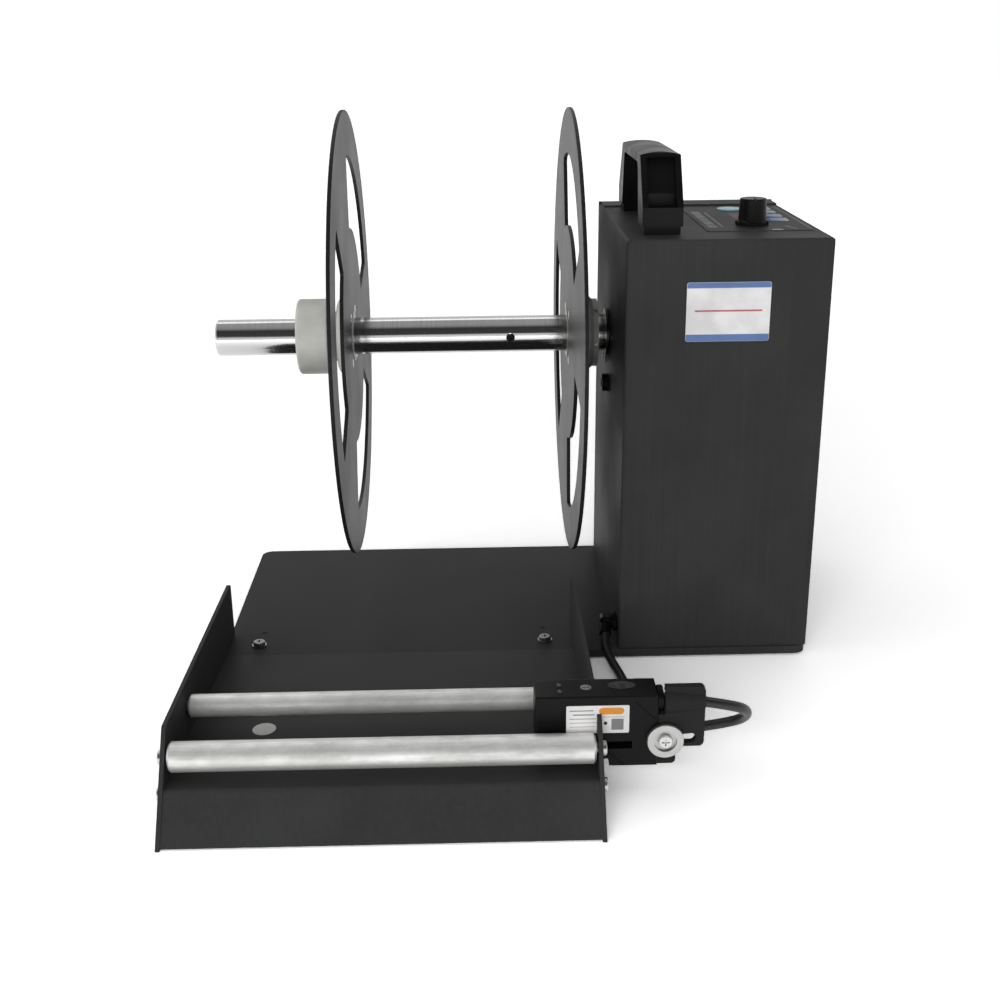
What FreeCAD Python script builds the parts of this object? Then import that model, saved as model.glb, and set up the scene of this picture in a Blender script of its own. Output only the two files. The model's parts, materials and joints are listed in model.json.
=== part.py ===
import FreeCAD, Part
import math
import os

# Bench label rewinder: a motor-driven winding shaft with two flange discs,
# and a roller tray with a label sensor that feeds it.
# Millimetres. X is to the right, Y is away from the operator, Z is up.
# The origin is on the underside of the anti-slip mat, under the centre of the base plate.

# ---- base ----
BASE_W = 390.0
BASE_D = 187.0
BASE_T = 5.5
BASE_CORNER_R = 8.0
MAT_T = 1.5
MAT_INSET = 5.0
FIT_GAP = 0.2            # clearance round a piece that drops into an opening
M3 = 3.0
M4 = 4.0
M5 = 5.0

# ---- housing ----
HOUSING_W = 126.5
HOUSING_H = 270.9
HOUSING_SETBACK = 1.5    # front wall behind the base plate's front edge
HOUSING_BACK = 4.3       # rear cover in front of the base plate's rear edge
SHEET = 1.5
SHEET_R = 2.0
RETURN_W = 12.0          # inward flanges of the shell
LIP_T = 1.2              # flange of the rear cover that laps over the top
LIP_D = 24.0
NAME_PLATE = (51.6, 36.5, 0.5)
NAME_PLATE_X = 37.3      # from the housing's left wall
NAME_PLATE_Z = 208.6     # above the base plate

# ---- winding shaft and flange discs ----
SHAFT_D = 25.0
SHAFT_OUT = 269.3        # length that stands out of the housing
SHAFT_IN = 95.5          # length inside the housing
SHAFT_BACK = 102.6       # axis behind the housing's front wall
SHAFT_HIGH = 192.5       # axis above the base plate
SHAFT_CHAMFER = 1.2
CROSS_HOLE_D = 6.0
CROSS_HOLE_OUT = 67.7    # from the housing's left wall
RUN_GAP = 0.03           # radial clearance of a running or sliding fit
DISC_D = 300.0
DISC_T = 2.5
DISC_BORE = 34.2
DISC_GAP = 149.6         # between the two discs' middle planes
INNER_DISC_OUT = 27.1    # inner disc's middle plane from the housing's left wall
WINDOW_R_IN = 73.0
WINDOW_R_OUT = 121.0
WINDOW_SPAN = 74.0       # degrees
WINDOW_CORNER_R = 3.0
OUTER_DISC_TURN = 52.0   # degrees from +Y to the middle of the first window
INNER_DISC_TURN = 106.7
HUB_D = 51.6
HUB_NECK_D = 34.0
HUB_FLANGE_L = 8.0
HUB_NECK_L = 5.1
HUB_COLLAR_L = 22.1
HUB_SPIGOT_D = 34.0
HUB_SPIGOT_OUT = 0.5     # spigot past the disc's face
HUB_EDGE_R = 2.0
HUB_FLANGE_R = 3.5
HUB_SCREW_DEEP = 7.0     # hold of the disc's screws in the hub
INNER_HUB_L = 17.8
INNER_HUB_NOSE_D = 46.6
INNER_HUB_NOSE_L = 3.4
INNER_HUB_CONE_L = 2.6
INNER_HUB_SCREW_L = 8.0
INNER_HUB_SCREW_TURNS = (50.0, -10.0)   # degrees above the front
HUB_BOLT_PCD = 44.0
HUB_BOLTS = 4
CLIP_D = 33.0
CLIP_T = 1.5
CLIP_DEEP = 0.6
CLIP_WALL_GAP = 0.8
SHAFT_HOLE_GAP = 2.0     # round the shaft where it leaves the housing

# ---- drive inside the housing ----
BEARING_D = 47.0
BEARING_W = 12.0
BEARING_RACE = 4.5       # depth of each race ring
BLOCK_W = 84.0
BLOCK_H = 48.0
BLOCK_T = 8.0
BLOCK_BOSS_D = 55.0
BLOCK_BOSS_L = 15.0
BLOCK_CORNER_R = 6.0
BLOCK_BOLT_W = 66.0
BLOCK_BOLT_H = 28.0
STUD_DEEP = 1.0          # blind hold of the left block's screws in the wall
INNER_WALL_T = 3.0
INNER_WALL_X = 71.5      # from the housing's left wall
INNER_WALL_FRONT = 32.6  # behind the housing's front wall
INNER_WALL_BACK = 8.6    # in front of the rear cover
INNER_WALL_TOP = 34.9    # below the housing's top
INNER_WALL_FOOT = 22.0
PULLEY_R = 34.0
PINION_R = 12.0
PULLEY_X = 32.0          # from the housing's left wall
PULLEY_W = 16.0
PULLEY_RIM = 2.5         # height of the side rims over the belt seat
PULLEY_RIM_T = 2.6
BELT_T = 2.0
BELT_GAP = 0.05
BELT_SIDE_GAP = 0.4
MOTOR_DROP = 104.5       # motor axis under the shaft axis
MOTOR_SHAFT_D = 10.0
GEARBOX_W = 70.0
GEARBOX_L = 22.0
MOTOR_D = 58.0
MOTOR_L = 24.0
MOTOR_BOLT_PITCH = 56.0
MOTOR_SCREW_IN = 7.0
PULLEY_BOSS_L = 8.0
PULLEY_BOSS_T = 6.0

# ---- control panel on the top ----
PANEL_X = 54.0           # from the housing's left wall
PANEL_BACK = 10.2        # in front of the rear cover's flange
PANEL_W = 67.0
PANEL_D = 116.0
PANEL_T = 0.4
KEY_W = 12.0
KEY_D = 9.0
KEY_X = 54.1             # places on the panel are from its front left corner
KEY_YS = (45.6, 63.9, 82.2, 100.5)
KEY_UP = 0.9             # key top over the panel
KEY_TRAVEL = 0.8
KEY_FLANGE = 1.0
KEY_FLANGE_OUT = 1.0
KEY_STEM_D = 4.0
SWITCH_W = 6.0
ROUND_KEY_D = 17.0
ROUND_KEY_X = 32.3
ROUND_KEY_Y = 101.3
DISPLAY_W = 17.0
DISPLAY_D = 36.0
DISPLAY_X = 36.0
DISPLAY_Y = 64.0
KNOB_X = 33.0
KNOB_Y = 26.5
KNOB_SKIRT_D = 21.4
KNOB_SKIRT_H = 3.0
KNOB_TOP_D = 16.8
KNOB_LOW_D = 18.2
KNOB_H = 16.4
KNOB_LIFT = 0.4
KNOB_SCALLOPS = 10
KNOB_SCALLOP_R = 2.2
KNOB_GRIP_DEEP = 11.0    # hold of the knob on its spindle
POT_SHAFT_D = 6.0
POT_D = 17.0
POT_H = 9.0
POT_BUSH_D = 7.0
POT_NUT_D = 11.0
BOARD_T = 1.6
PANEL_BOARD_DROP = 8.5   # board's top face under the housing's top sheet
SPACER_L = 8.0
BOARD_PITCH_X = 44.0
BOARD_PITCH_Y = 70.0
BOARD_EDGE = 4.0         # board past its outer holes
BOARD_BACK = 92.0        # first row of holes in front of the rear cover
BOARD_PARTS = (          # x, y, width, depth and height on the control board
    (6.0, 14.0, 16.0, 20.0, 14.0),
    (28.0, 12.0, 18.0, 18.0, 10.0),
    (10.0, 62.0, 32.0, 8.0, 9.0),
)
CAPACITOR_XS = (13.0, 26.0, 39.0)
CAPACITOR_Y = 46.0
CAPACITOR_D = 10.0
CAPACITOR_H = 17.0

# ---- carry handle ----
HANDLE_X = 11.6
HANDLE_BACK = 3.2        # rear foot in front of the rear cover's flange
HANDLE_W = 25.2
HANDLE_L = 133.5
HANDLE_H = 46.3          # at the grip's sides
HANDLE_CROWN = 1.8       # grip's middle over its sides
HANDLE_FOOT_H = 16.4
HANDLE_LEAN = 19.5       # end face from the foot to the top
HANDLE_LEG = 20.0        # leg's depth at the housing's top
HANDLE_LEG_LEAN = 9.5
HANDLE_GRIP_T = 5.0
HANDLE_TOP_R = 4.0
HANDLE_OPEN_R = 5.0
HANDLE_WEB_W = 17.5
HANDLE_WEB_DEEP = 4.5
HANDLE_WEB_TOP = 1.5     # below the grip's sides
HANDLE_POCKET_H = 7.7
HANDLE_POCKET_DEEP = 12.0
HANDLE_BASE_H = 5.0      # set-back strip round the foot
HANDLE_BASE_IN = 1.3
HANDLE_SCREW_L = 9.0

# ---- sockets ----
SOCKET_BACK = 95.0
SOCKET_HIGH = 158.6
SOCKET_D = 9.6
SOCKET_RIM_D = 12.4
SOCKET_NUT_D = 13.6
SOCKET_OUT = 4.5
SOCKET_IN = 8.0
PLUG_BACK = 14.0
PLUG_HIGH = 13.5
PLUG_THROAT_D = 10.0
PLUG_COLLAR_D = 13.0
PLUG_COLLAR_T = 2.5
PLUG_BODY_L = 8.5
PLUG_BODY_W = 9.6
PLUG_BODY_EDGE = 1.6
PLUG_NOSE_WALL = 1.0
PLUG_NOSE_D = 8.6
INLET = (27.0, 20.0, 22.0)
INLET_FLANGE = (48.0, 24.0, 2.5)
INLET_PITCH = 40.0
INLET_X = 40.0
INLET_HIGH = 40.0
VENT_COUNT = 8           # cooling slots in the rear cover
VENT_LOW = 120.0         # lowest slot above the base plate
VENT_PITCH = 10.0
VENT_SIDE = 30.0
VENT_W = 4.0
ROCKER = (13.0, 19.0)
ROCKER_FRAME = (15.0, 21.0)
ROCKER_X = 92.0
ROCKER_WALL = 1.5
ROCKER_AXIS = 3.0        # pin's axis in front of the rear cover's outer face
ROCKER_PIN_D = 3.0
ROCKER_PIN_IN = 1.0      # hold of the pin in each side wall

# ---- roller tray ----
TRAY_RIGHT = 28.0        # right wing's outer face, left of the housing's left wall
TRAY_LEFT = 1.2          # left wing's outer face, from the base plate's left edge
WING_T = 2.4
TRAY_T = 2.0
WING_FRONT = 210.1       # front toe, in front of the base plate
WING_CREST_FRONT = 171.5 # front top corner, in front of the base plate
WING_CREST_H = 52.0
WING_TAIL_BACK = 27.9    # rear edge, behind the base plate's front edge
WING_TAIL_H = 47.6
WING_CORNER_R = 2.5
TRAY_FOLD_FRONT = 190.9
TRAY_FOLD_H = 24.6
TRAY_LIP_FRONT = 209.1
TRAY_LIP_H = 1.0
TRAY_SEAT_FRONT = 2.5    # where the tray comes down to the base plate
TRAY_SEAT_BACK = 30.5
TRAY_FOLD_R = 4.0
TRAY_SCREW_BACK = 12.0
TRAY_SCREW_LEFT = 21.5   # from the left wing's outer face
TRAY_SCREW_RIGHT = 20.4  # from the right wing's outer face
SPARE_HOLE_BACK = 34.5
WASHER_T = 0.8
BASE_CLEAR = 1.0
ROLLER_END_GAP = 1.2
ROLLER_WALL = 2.0
ROLLER_CHAMFER = 1.2
FRONT_ROLLER = (175.5, 35.7, 16.5)   # in front of the base plate, height, diameter
REAR_ROLLER = (120.5, 36.3, 13.2)
AXLE_D = 6.0
AXLE_TAP = 8.0
BUSH_L = 8.0
NUT_BLOCK = (10.0, 10.0, 6.5)
WING_SCREW_BACK = 6.5    # front wing screws, behind the tray's fold
WING_SCREW_FRONT = 40.0  # rear wing screws, in front of the base plate

# ---- label sensor ----
SENSOR_X = -63.5         # left end, from the housing's left wall
SENSOR_L = 66.5
SENSOR_ROLLER_GAP = 0.75 # front face behind the front roller
SENSOR_D = 21.0
SENSOR_AIR = 1.02        # lower arm above the tray's slope
SENSOR_FOOT_H = 4.8      # thick part below the lower arm
SENSOR_STEP_GAP = 5.0    # thick part starts this far outside the right wing
LOWER_ARM_H = 6.1
THROAT_H = 4.5
THROAT_L = 52.6
UPPER_ARM_H = 27.4
SENSOR_EDGE_R = 1.0
NOTCH_GAP = 1.5
EAR_L = 25.5             # reach to the right of the sensor
EAR_T = 4.5
EAR_SKIN = 2.5           # thickness in front of the cable
EAR_HOOD_H = 3.5         # hood over the cable
EAR_SET_IN = 1.8         # behind the sensor's front face
EAR_RISE = 3.9           # top above the sensor's
EAR_STEP_AIR = 1.2       # step below the gland
EAR_COVER_R = (7.5, 5.4)
EAR_STEP_X = 3.6
EAR_CORNER_R = 3.0
EAR_SLOT_W = 6.0
EAR_SLOT_DROP = 0.8      # slot's middle below the clamp's axis
EAR_SLOT_END = 4.5       # metal right of the slot
EAR_SLOT_WALL = 2.0      # metal under the slot
CLAMP_OUT = 3.8          # clamp axis to the right of the sensor
CLAMP_DROP = 12.8        # clamp axis below the ear's step
CLAMP_D = 20.0
CLAMP_T = 3.0
CLAMP_DISH_D = 12.4
CLAMP_DISH_DEEP = 1.5
CLAMP_BOSS_D = 7.0
CLAMP_AIR = 0.2
ARM_T = 2.0
ARM_AIR = 0.5
ARM_OUT = 11.0           # reach to the right of the sensor
ARM_H = 18.0
ARM_DROP = 2.0           # top below the ear's step
ARM_SCREW_IN = 5.0       # screws from the arm's edges
TAB_DROP = 19.0          # tab's lower edge below the clamp axis
ARM_FOOT_D = 15.0
GLAND_D = 14.0
GLAND_DROP = 5.4         # cable axis below the sensor's top
GLAND_SETBACK = 8.0      # cable axis behind the sensor's front face
SENSOR_LABEL = (34.0, 16.6, 0.3)
SENSOR_WINDOW = (15.0, 8.0)
LED_R = 1.25

# ---- sensor cable ----
CABLE_D = 5.8
CABLE_GAP = 0.1
CABLE_ROUTE = (
    (66.5, -252.0, 56.2),
    (80.5, -252.0, 56.2),
    (95.0, -252.3, 53.7),
    (115.3, -251.4, 49.5),
    (123.6, -243.8, 42.3),
    (123.6, -234.6, 32.7),
    (115.2, -227.4, 25.8),
    (96.0, -226.5, 22.4),
    (77.0, -217.0, 14.0),
    (66.5, -199.0, 6.5),
    (64.5, -176.0, 2.95),
    (69.4, -150.0, 2.95),
    (67.6, -126.0, 2.95),
    (61.6, -107.0, 7.0),
    (59.0, -95.9, 11.5),
    (60.2, -87.9, 15.5),
)

# ---- places worked out from the sizes above ----
BASE_TOP = MAT_T + BASE_T
BASE_FRONT = -BASE_D / 2
HX0 = BASE_W / 2 - HOUSING_W
HX1 = BASE_W / 2
HY0 = BASE_FRONT + HOUSING_SETBACK
HY1 = -BASE_FRONT - HOUSING_BACK
HZ1 = BASE_TOP + HOUSING_H
SHAFT_Y = HY0 + SHAFT_BACK
SHAFT_Z = BASE_TOP + SHAFT_HIGH
SHAFT_X0 = HX0 - SHAFT_OUT
INNER_DISC_X = HX0 - INNER_DISC_OUT
OUTER_DISC_X = INNER_DISC_X - DISC_GAP
INNER_WALL_X0 = HX0 + INNER_WALL_X
INNER_WALL_Y0 = HY0 + INNER_WALL_FRONT
INNER_WALL_Y1 = HY1 - INNER_WALL_BACK
LEFT_SEAT = HX0 + SHEET
RIGHT_SEAT = INNER_WALL_X0 + INNER_WALL_T
MOTOR_Z = SHAFT_Z - MOTOR_DROP
LIP_Y = HY1 - LIP_D
PX0 = HX0 + PANEL_X
PY0 = LIP_Y - PANEL_BACK - PANEL_D
HANDLE_Y1 = LIP_Y - HANDLE_BACK
HANDLE_Y0 = HANDLE_Y1 - HANDLE_L
TRAY_X0 = -BASE_W / 2 + TRAY_LEFT
TRAY_X1 = HX0 - TRAY_RIGHT
TRAY_FALL = (TRAY_FOLD_H - BASE_TOP - TRAY_T) / (TRAY_FOLD_FRONT - TRAY_SEAT_FRONT)
SENSOR_FRONT = FRONT_ROLLER[0] - FRONT_ROLLER[2] / 2 - SENSOR_ROLLER_GAP
SX0 = HX0 + SENSOR_X
SX1 = SX0 + SENSOR_L
SY0 = BASE_FRONT - SENSOR_FRONT
SY1 = SY0 + SENSOR_D
SENSOR_ARM_BOTTOM = BASE_TOP + TRAY_T + TRAY_FALL * (SENSOR_FRONT - TRAY_SEAT_FRONT) + SENSOR_AIR
SENSOR_BOTTOM = SENSOR_ARM_BOTTOM - SENSOR_FOOT_H
THROAT_LOW = SENSOR_ARM_BOTTOM + LOWER_ARM_H
THROAT_HIGH = THROAT_LOW + THROAT_H
SENSOR_TOP = THROAT_HIGH + UPPER_ARM_H
GLAND_H = SENSOR_TOP - GLAND_DROP
EAR_Y0 = SY0 + EAR_SET_IN
EAR_Y1 = EAR_Y0 + EAR_T
EAR_STEP_H = GLAND_H - GLAND_D / 2 - EAR_STEP_AIR
EAR_HIGH = SENSOR_TOP + EAR_RISE
CLAMP_AT = (SX1 + CLAMP_OUT, EAR_STEP_H - CLAMP_DROP)
EAR_LOW = CLAMP_AT[1] - EAR_SLOT_DROP - EAR_SLOT_W / 2 - EAR_SLOT_WALL
ARM_HIGH = EAR_STEP_H - ARM_DROP
ARM_LOW = ARM_HIGH - ARM_H
TAB_LOW = CLAMP_AT[1] - TAB_DROP

V = FreeCAD.Vector
X_AXIS = V(1, 0, 0)
Y_AXIS = V(0, 1, 0)
Z_AXIS = V(0, 0, 1)

os.makedirs("parts", exist_ok=True)


# ---- helpers ----
def box(x0, x1, y0, y1, z0, z1):
    return Part.makeBox(x1 - x0, y1 - y0, z1 - z0, V(x0, y0, z0))


def rod(radius, start, length, axis):
    return Part.makeCylinder(radius, length, V(*start), axis)


def ring(outer_r, inner_r, start, length, axis):
    hole_start = V(*start) - axis
    hole = Part.makeCylinder(inner_r, length + 2, hole_start, axis)
    return rod(outer_r, start, length, axis).cut(hole)


def fuse(first, *rest):
    return first.multiFuse(list(rest)).removeSplitter() if rest else first


def cut(shape, *tools):
    return shape.cut(list(tools)) if tools else shape


def edges_along(shape, axis):
    found = []
    for edge in shape.Edges:
        if isinstance(edge.Curve, (Part.Line, Part.LineSegment)):
            direction = edge.tangentAt(edge.FirstParameter)
            if abs(direction.dot(axis)) > 0.999:
                found.append(edge)
    return found


def rounded_box(x0, x1, y0, y1, z0, z1, radius, axis):
    body = box(x0, x1, y0, y1, z0, z1)
    return body.makeFillet(radius, edges_along(body, axis))


def prism_x(points, x0, x1):
    wire = Part.makePolygon([V(x0, y, z) for y, z in points + points[:1]])
    return Part.Face(wire).extrude(V(x1 - x0, 0, 0))


def slot_z(x0, x1, y0, y1, z_mid, width):
    middle = box(x0 + width / 2, x1 - width / 2, y0, y1, z_mid - width / 2, z_mid + width / 2)
    ends = [rod(width / 2, (x, y0, z_mid), y1 - y0, Y_AXIS) for x in (x0 + width / 2, x1 - width / 2)]
    return fuse(middle, *ends)


def turned(shape, start, axis):
    """Put a piece made along +Z at the origin onto start, pointing along axis."""
    shape = shape.copy()
    shape.Placement = FreeCAD.Placement(V(*start), FreeCAD.Rotation(Z_AXIS, axis))
    return shape


def pan_screw(size, length, start, axis):
    """Cross-recess pan head whose underside is at start; the shank points along axis."""
    head_r = size
    head_h = 0.62 * size
    head = Part.makeCylinder(head_r, head_h, V(0, 0, -head_h))
    head = head.makeFillet(0.45 * head_h, [e for e in head.Edges if e.BoundBox.ZMax < -0.9 * head_h])
    bar = 0.22 * size
    reach = 0.55 * size
    cross = [box(-reach, reach, -bar / 2, bar / 2, -head_h - 1, -0.45 * head_h),
             box(-bar / 2, bar / 2, -reach, reach, -head_h - 1, -0.45 * head_h)]
    shank = Part.makeCylinder(size / 2, length)
    return turned(fuse(cut(head, *cross), shank), start, axis)


def flat_screw(size, length, start, axis):
    """Countersunk screw whose flat head face is at start."""
    head = Part.makeCone(size, size / 2, size / 2)
    slot = box(-size * 0.8, size * 0.8, -size * 0.12, size * 0.12, -1, size * 0.22)
    shank = Part.makeCylinder(size / 2, length)
    return turned(cut(fuse(head, shank), slot), start, axis)


def sink(size, start, axis):
    return turned(Part.makeCone(size, size / 2, size / 2), start, axis)


def save(name, shape):
    shape.exportStep("parts/%s.step" % name)


# ---- base ----
def base_fixings():
    """Countersunk screws that hold the shell's bottom flanges and the inner wall's foot."""
    left = HX0 + SHEET + RETURN_W / 2
    right = HX1 - SHEET - RETURN_W / 2
    foot = INNER_WALL_X0 + INNER_WALL_T + INNER_WALL_FOOT / 2
    rows = [(x, y) for x in (left, right) for y in (HY0 + 20, (HY0 + HY1) / 2, HY1 - 20)]
    return rows + [(foot, INNER_WALL_Y0 + 20), (foot, INNER_WALL_Y1 - 20)]


def tray_screw_xs():
    return TRAY_X0 + TRAY_SCREW_LEFT, TRAY_X1 - TRAY_SCREW_RIGHT


def tray_screw_places():
    return [(x, BASE_FRONT + TRAY_SCREW_BACK) for x in tray_screw_xs()]


def spare_hole_places():
    return [(x, BASE_FRONT + SPARE_HOLE_BACK) for x in tray_screw_xs()]


def board_posts():
    x0 = LEFT_SEAT + RETURN_W + 5.5
    y0 = HY1 - BOARD_BACK
    return [(x0 + dx, y0 + dy) for dx in (0, BOARD_PITCH_X) for dy in (0, BOARD_PITCH_Y)]


def base_plate():
    plate = rounded_box(-BASE_W / 2, BASE_W / 2, BASE_FRONT, -BASE_FRONT, MAT_T, BASE_TOP,
                        BASE_CORNER_R, Z_AXIS)
    tools = []
    for x, y in base_fixings():
        tools.append(rod(M4 / 2, (x, y, MAT_T), BASE_T, Z_AXIS))
        tools.append(sink(M4, (x, y, MAT_T), Z_AXIS))
    for x, y in tray_screw_places() + spare_hole_places():
        tools.append(rod(M4 / 2, (x, y, MAT_T), BASE_T, Z_AXIS))
    for x, y in board_posts():
        tools.append(rod(M3 / 2, (x, y, BASE_TOP - 4), 4, Z_AXIS))
    return cut(plate, *tools)


def anti_slip_mat():
    inset = MAT_INSET
    return rounded_box(-BASE_W / 2 + inset, BASE_W / 2 - inset, BASE_FRONT + inset, -BASE_FRONT - inset,
                       0, MAT_T, BASE_CORNER_R - 2, Z_AXIS)


def base_screws():
    return Part.makeCompound([flat_screw(M4, BASE_T + SHEET, (x, y, MAT_T), Z_AXIS)
                              for x, y in base_fixings()])


# ---- housing ----
def panel_cutouts(z0, z1, grow):
    """Openings for the keys and the display through the sheets from z0 to z1."""
    tools = []
    for y in KEY_YS:
        x_mid = PX0 + KEY_X
        y_mid = PY0 + y
        tools.append(box(x_mid - KEY_W / 2 - grow, x_mid + KEY_W / 2 + grow,
                         y_mid - KEY_D / 2 - grow, y_mid + KEY_D / 2 + grow, z0, z1))
    tools.append(rod(ROUND_KEY_D / 2 + grow, (PX0 + ROUND_KEY_X, PY0 + ROUND_KEY_Y, z0), z1 - z0, Z_AXIS))
    tools.append(display_box(z0, z1))
    return tools


def display_box(z0, z1):
    x_mid = PX0 + DISPLAY_X
    y_mid = PY0 + DISPLAY_Y
    return box(x_mid - DISPLAY_W / 2, x_mid + DISPLAY_W / 2,
               y_mid - DISPLAY_D / 2, y_mid + DISPLAY_D / 2, z0, z1)


def oval(x_mid, y_mid, width, depth, z0, z1):
    ellipse = Part.Ellipse(V(x_mid, y_mid, z0), width / 2, depth / 2)
    wire = Part.Wire(ellipse.toShape())
    return Part.Face(wire).extrude(V(0, 0, z1 - z0))


def handle_screw_places():
    x = HX0 + HANDLE_X + HANDLE_W / 2
    return [(x, HANDLE_Y0 + HANDLE_LEG / 2), (x, HANDLE_Y1 - HANDLE_LEG / 2)]


def post_places():
    """Stand-offs that hang the panel board under the top sheet."""
    return [(x, y) for x in (PX0 + BOARD_EDGE, PX0 + PANEL_W - BOARD_EDGE)
            for y in (PY0 + BOARD_EDGE, PY0 + PANEL_D - BOARD_EDGE)]


def block_bolt_places():
    return [(SHAFT_Y + a * BLOCK_BOLT_W / 2, SHAFT_Z + b * BLOCK_BOLT_H / 2)
            for a in (-1, 1) for b in (-1, 1)]


def cover_screw_places():
    left = HX0 + SHEET + RETURN_W / 2
    right = HX1 - SHEET - RETURN_W / 2
    return [(x, z) for x in (left, right) for z in (BASE_TOP + 22, HZ1 - 26)]


def housing_shell():
    rear = HY1 - SHEET
    outer = box(HX0, HX1, HY0, rear, BASE_TOP, HZ1)
    bends = [e for e in outer.Edges
             if (e.BoundBox.YMax < HY0 + 0.1 or e.BoundBox.ZMin > HZ1 - 0.1)
             and e.BoundBox.ZMax > BASE_TOP + 0.1 and e.BoundBox.YMin < rear - 0.1]
    outer = outer.makeFillet(SHEET_R, bends)
    shell = cut(outer, box(HX0 + SHEET, HX1 - SHEET, HY0 + SHEET, rear + 1, BASE_TOP - 1, HZ1 - SHEET))
    flanges = []
    for x0, x1 in ((HX0 + SHEET / 2, HX0 + SHEET + RETURN_W), (HX1 - SHEET - RETURN_W, HX1 - SHEET / 2)):
        flanges.append(box(x0, x1, HY0 + SHEET, rear, BASE_TOP, BASE_TOP + SHEET))
        flanges.append(box(x0, x1, rear - SHEET, rear, BASE_TOP, HZ1 - SHEET / 2))
    shell = fuse(shell, *flanges)
    tools = panel_cutouts(HZ1 - 2 * SHEET, HZ1 + 1, FIT_GAP)
    tools.append(rod(SHAFT_D / 2 + SHAFT_HOLE_GAP, (HX0 - 1, SHAFT_Y, SHAFT_Z), SHEET + 2, X_AXIS))
    tools.append(rod(SOCKET_D / 2, (HX0 - 1, HY0 + SOCKET_BACK, BASE_TOP + SOCKET_HIGH), SHEET + 2, X_AXIS))
    tools.append(rod(PLUG_THROAT_D / 2, (HX0 - 1, HY0 + PLUG_BACK, BASE_TOP + PLUG_HIGH), SHEET + 2, X_AXIS))
    tools.append(rod(POT_BUSH_D / 2, (PX0 + KNOB_X, PY0 + KNOB_Y, HZ1 - 2 * SHEET), 2 * SHEET + 1, Z_AXIS))
    for x, y in handle_screw_places():
        tools.append(rod(M4 / 2, (x, y, HZ1 - SHEET - 1), SHEET + 2, Z_AXIS))
    for x, y in base_fixings()[:6]:
        tools.append(rod(M4 / 2, (x, y, BASE_TOP - 1), SHEET + 2, Z_AXIS))
    for y, z in block_bolt_places():
        tools.append(rod(M5 / 2, (LEFT_SEAT - STUD_DEEP, y, z), STUD_DEEP + 1, X_AXIS))
    for x, z in cover_screw_places():
        tools.append(rod(M3 / 2, (x, rear - SHEET - 1, z), SHEET + 2, Y_AXIS))
    return cut(shell, *tools)


def rear_cover():
    plate = box(HX0, HX1, HY1 - SHEET, HY1, BASE_TOP, HZ1 + LIP_T)
    lip = box(HX0 + SHEET, HX1 - SHEET, LIP_Y, HY1 - SHEET / 2, HZ1, HZ1 + LIP_T)
    cover = fuse(plate, lip)
    x_in = HX0 + INLET_X
    z_in = BASE_TOP + INLET_HIGH
    x_rock = HX0 + ROCKER_X
    tools = [box(x_in - INLET[0] / 2, x_in + INLET[0] / 2, HY1 - SHEET - 1, HY1 + 1,
                 z_in - INLET[1] / 2, z_in + INLET[1] / 2),
             box(x_rock - ROCKER[0] / 2, x_rock + ROCKER[0] / 2, HY1 - SHEET - 1, HY1 + 1,
                 z_in - ROCKER[1] / 2, z_in + ROCKER[1] / 2)]
    for x, z in inlet_screw_places():
        tools.append(rod(M3 / 2, (x, HY1 - SHEET - 1, z), SHEET + 2, Y_AXIS))
    for row in range(VENT_COUNT):
        z = BASE_TOP + VENT_LOW + row * VENT_PITCH
        tools.append(slot_z(HX0 + VENT_SIDE, HX1 - VENT_SIDE, HY1 - SHEET - 1, HY1 + 1, z, VENT_W))
    for x, z in cover_screw_places():
        tools.append(rod(M3 / 2 + FIT_GAP, (x, HY1 - SHEET - 1, z), SHEET + 2, Y_AXIS))
    return cut(cover, *tools)


def housing_screws():
    """Screws of the rear cover, the mains inlet and the carry handle."""
    toward = V(0, -1, 0)
    cover = [pan_screw(M3, 2 * SHEET + 2, (x, HY1, z), toward) for x, z in cover_screw_places()]
    inlet = [pan_screw(M3, INLET_FLANGE[2] + SHEET, (x, HY1 + INLET_FLANGE[2], z), toward)
             for x, z in inlet_screw_places()]
    handle = [pan_screw(M4, SHEET + HANDLE_SCREW_L, (x, y, HZ1 - SHEET), Z_AXIS)
              for x, y in handle_screw_places()]
    return Part.makeCompound(cover + inlet + handle)


def inlet_screw_places():
    x = HX0 + INLET_X
    return [(x + side * INLET_PITCH / 2, BASE_TOP + INLET_HIGH) for side in (-1, 1)]


def name_plate():
    width, height, thick = NAME_PLATE
    x0 = HX0 + NAME_PLATE_X
    z0 = BASE_TOP + NAME_PLATE_Z
    return rounded_box(x0, x0 + width, HY0 - thick, HY0, z0, z0 + height, 1.5, Y_AXIS)


# ---- drive ----
def bearing_block(x0):
    """Oblong flange on the face at x0, with a boss that holds the bearing."""
    plate = rounded_box(x0, x0 + BLOCK_T, SHAFT_Y - BLOCK_W / 2, SHAFT_Y + BLOCK_W / 2,
                        SHAFT_Z - BLOCK_H / 2, SHAFT_Z + BLOCK_H / 2, BLOCK_CORNER_R, X_AXIS)
    boss = rod(BLOCK_BOSS_D / 2, (x0, SHAFT_Y, SHAFT_Z), BLOCK_BOSS_L, X_AXIS)
    tools = [rod(BEARING_D / 2, (bearing_x(x0), SHAFT_Y, SHAFT_Z), BEARING_W + 1, X_AXIS),
             rod(BEARING_D / 2 - BEARING_RACE, (x0 - 1, SHAFT_Y, SHAFT_Z), BLOCK_BOSS_L + 2, X_AXIS)]
    tools += [rod(M5 / 2, (x0 - 1, y, z), BLOCK_T + 2, X_AXIS) for y, z in block_bolt_places()]
    return cut(fuse(plate, boss), *tools)


def bearing_x(block_x):
    return block_x + BLOCK_BOSS_L - BEARING_W


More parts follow.
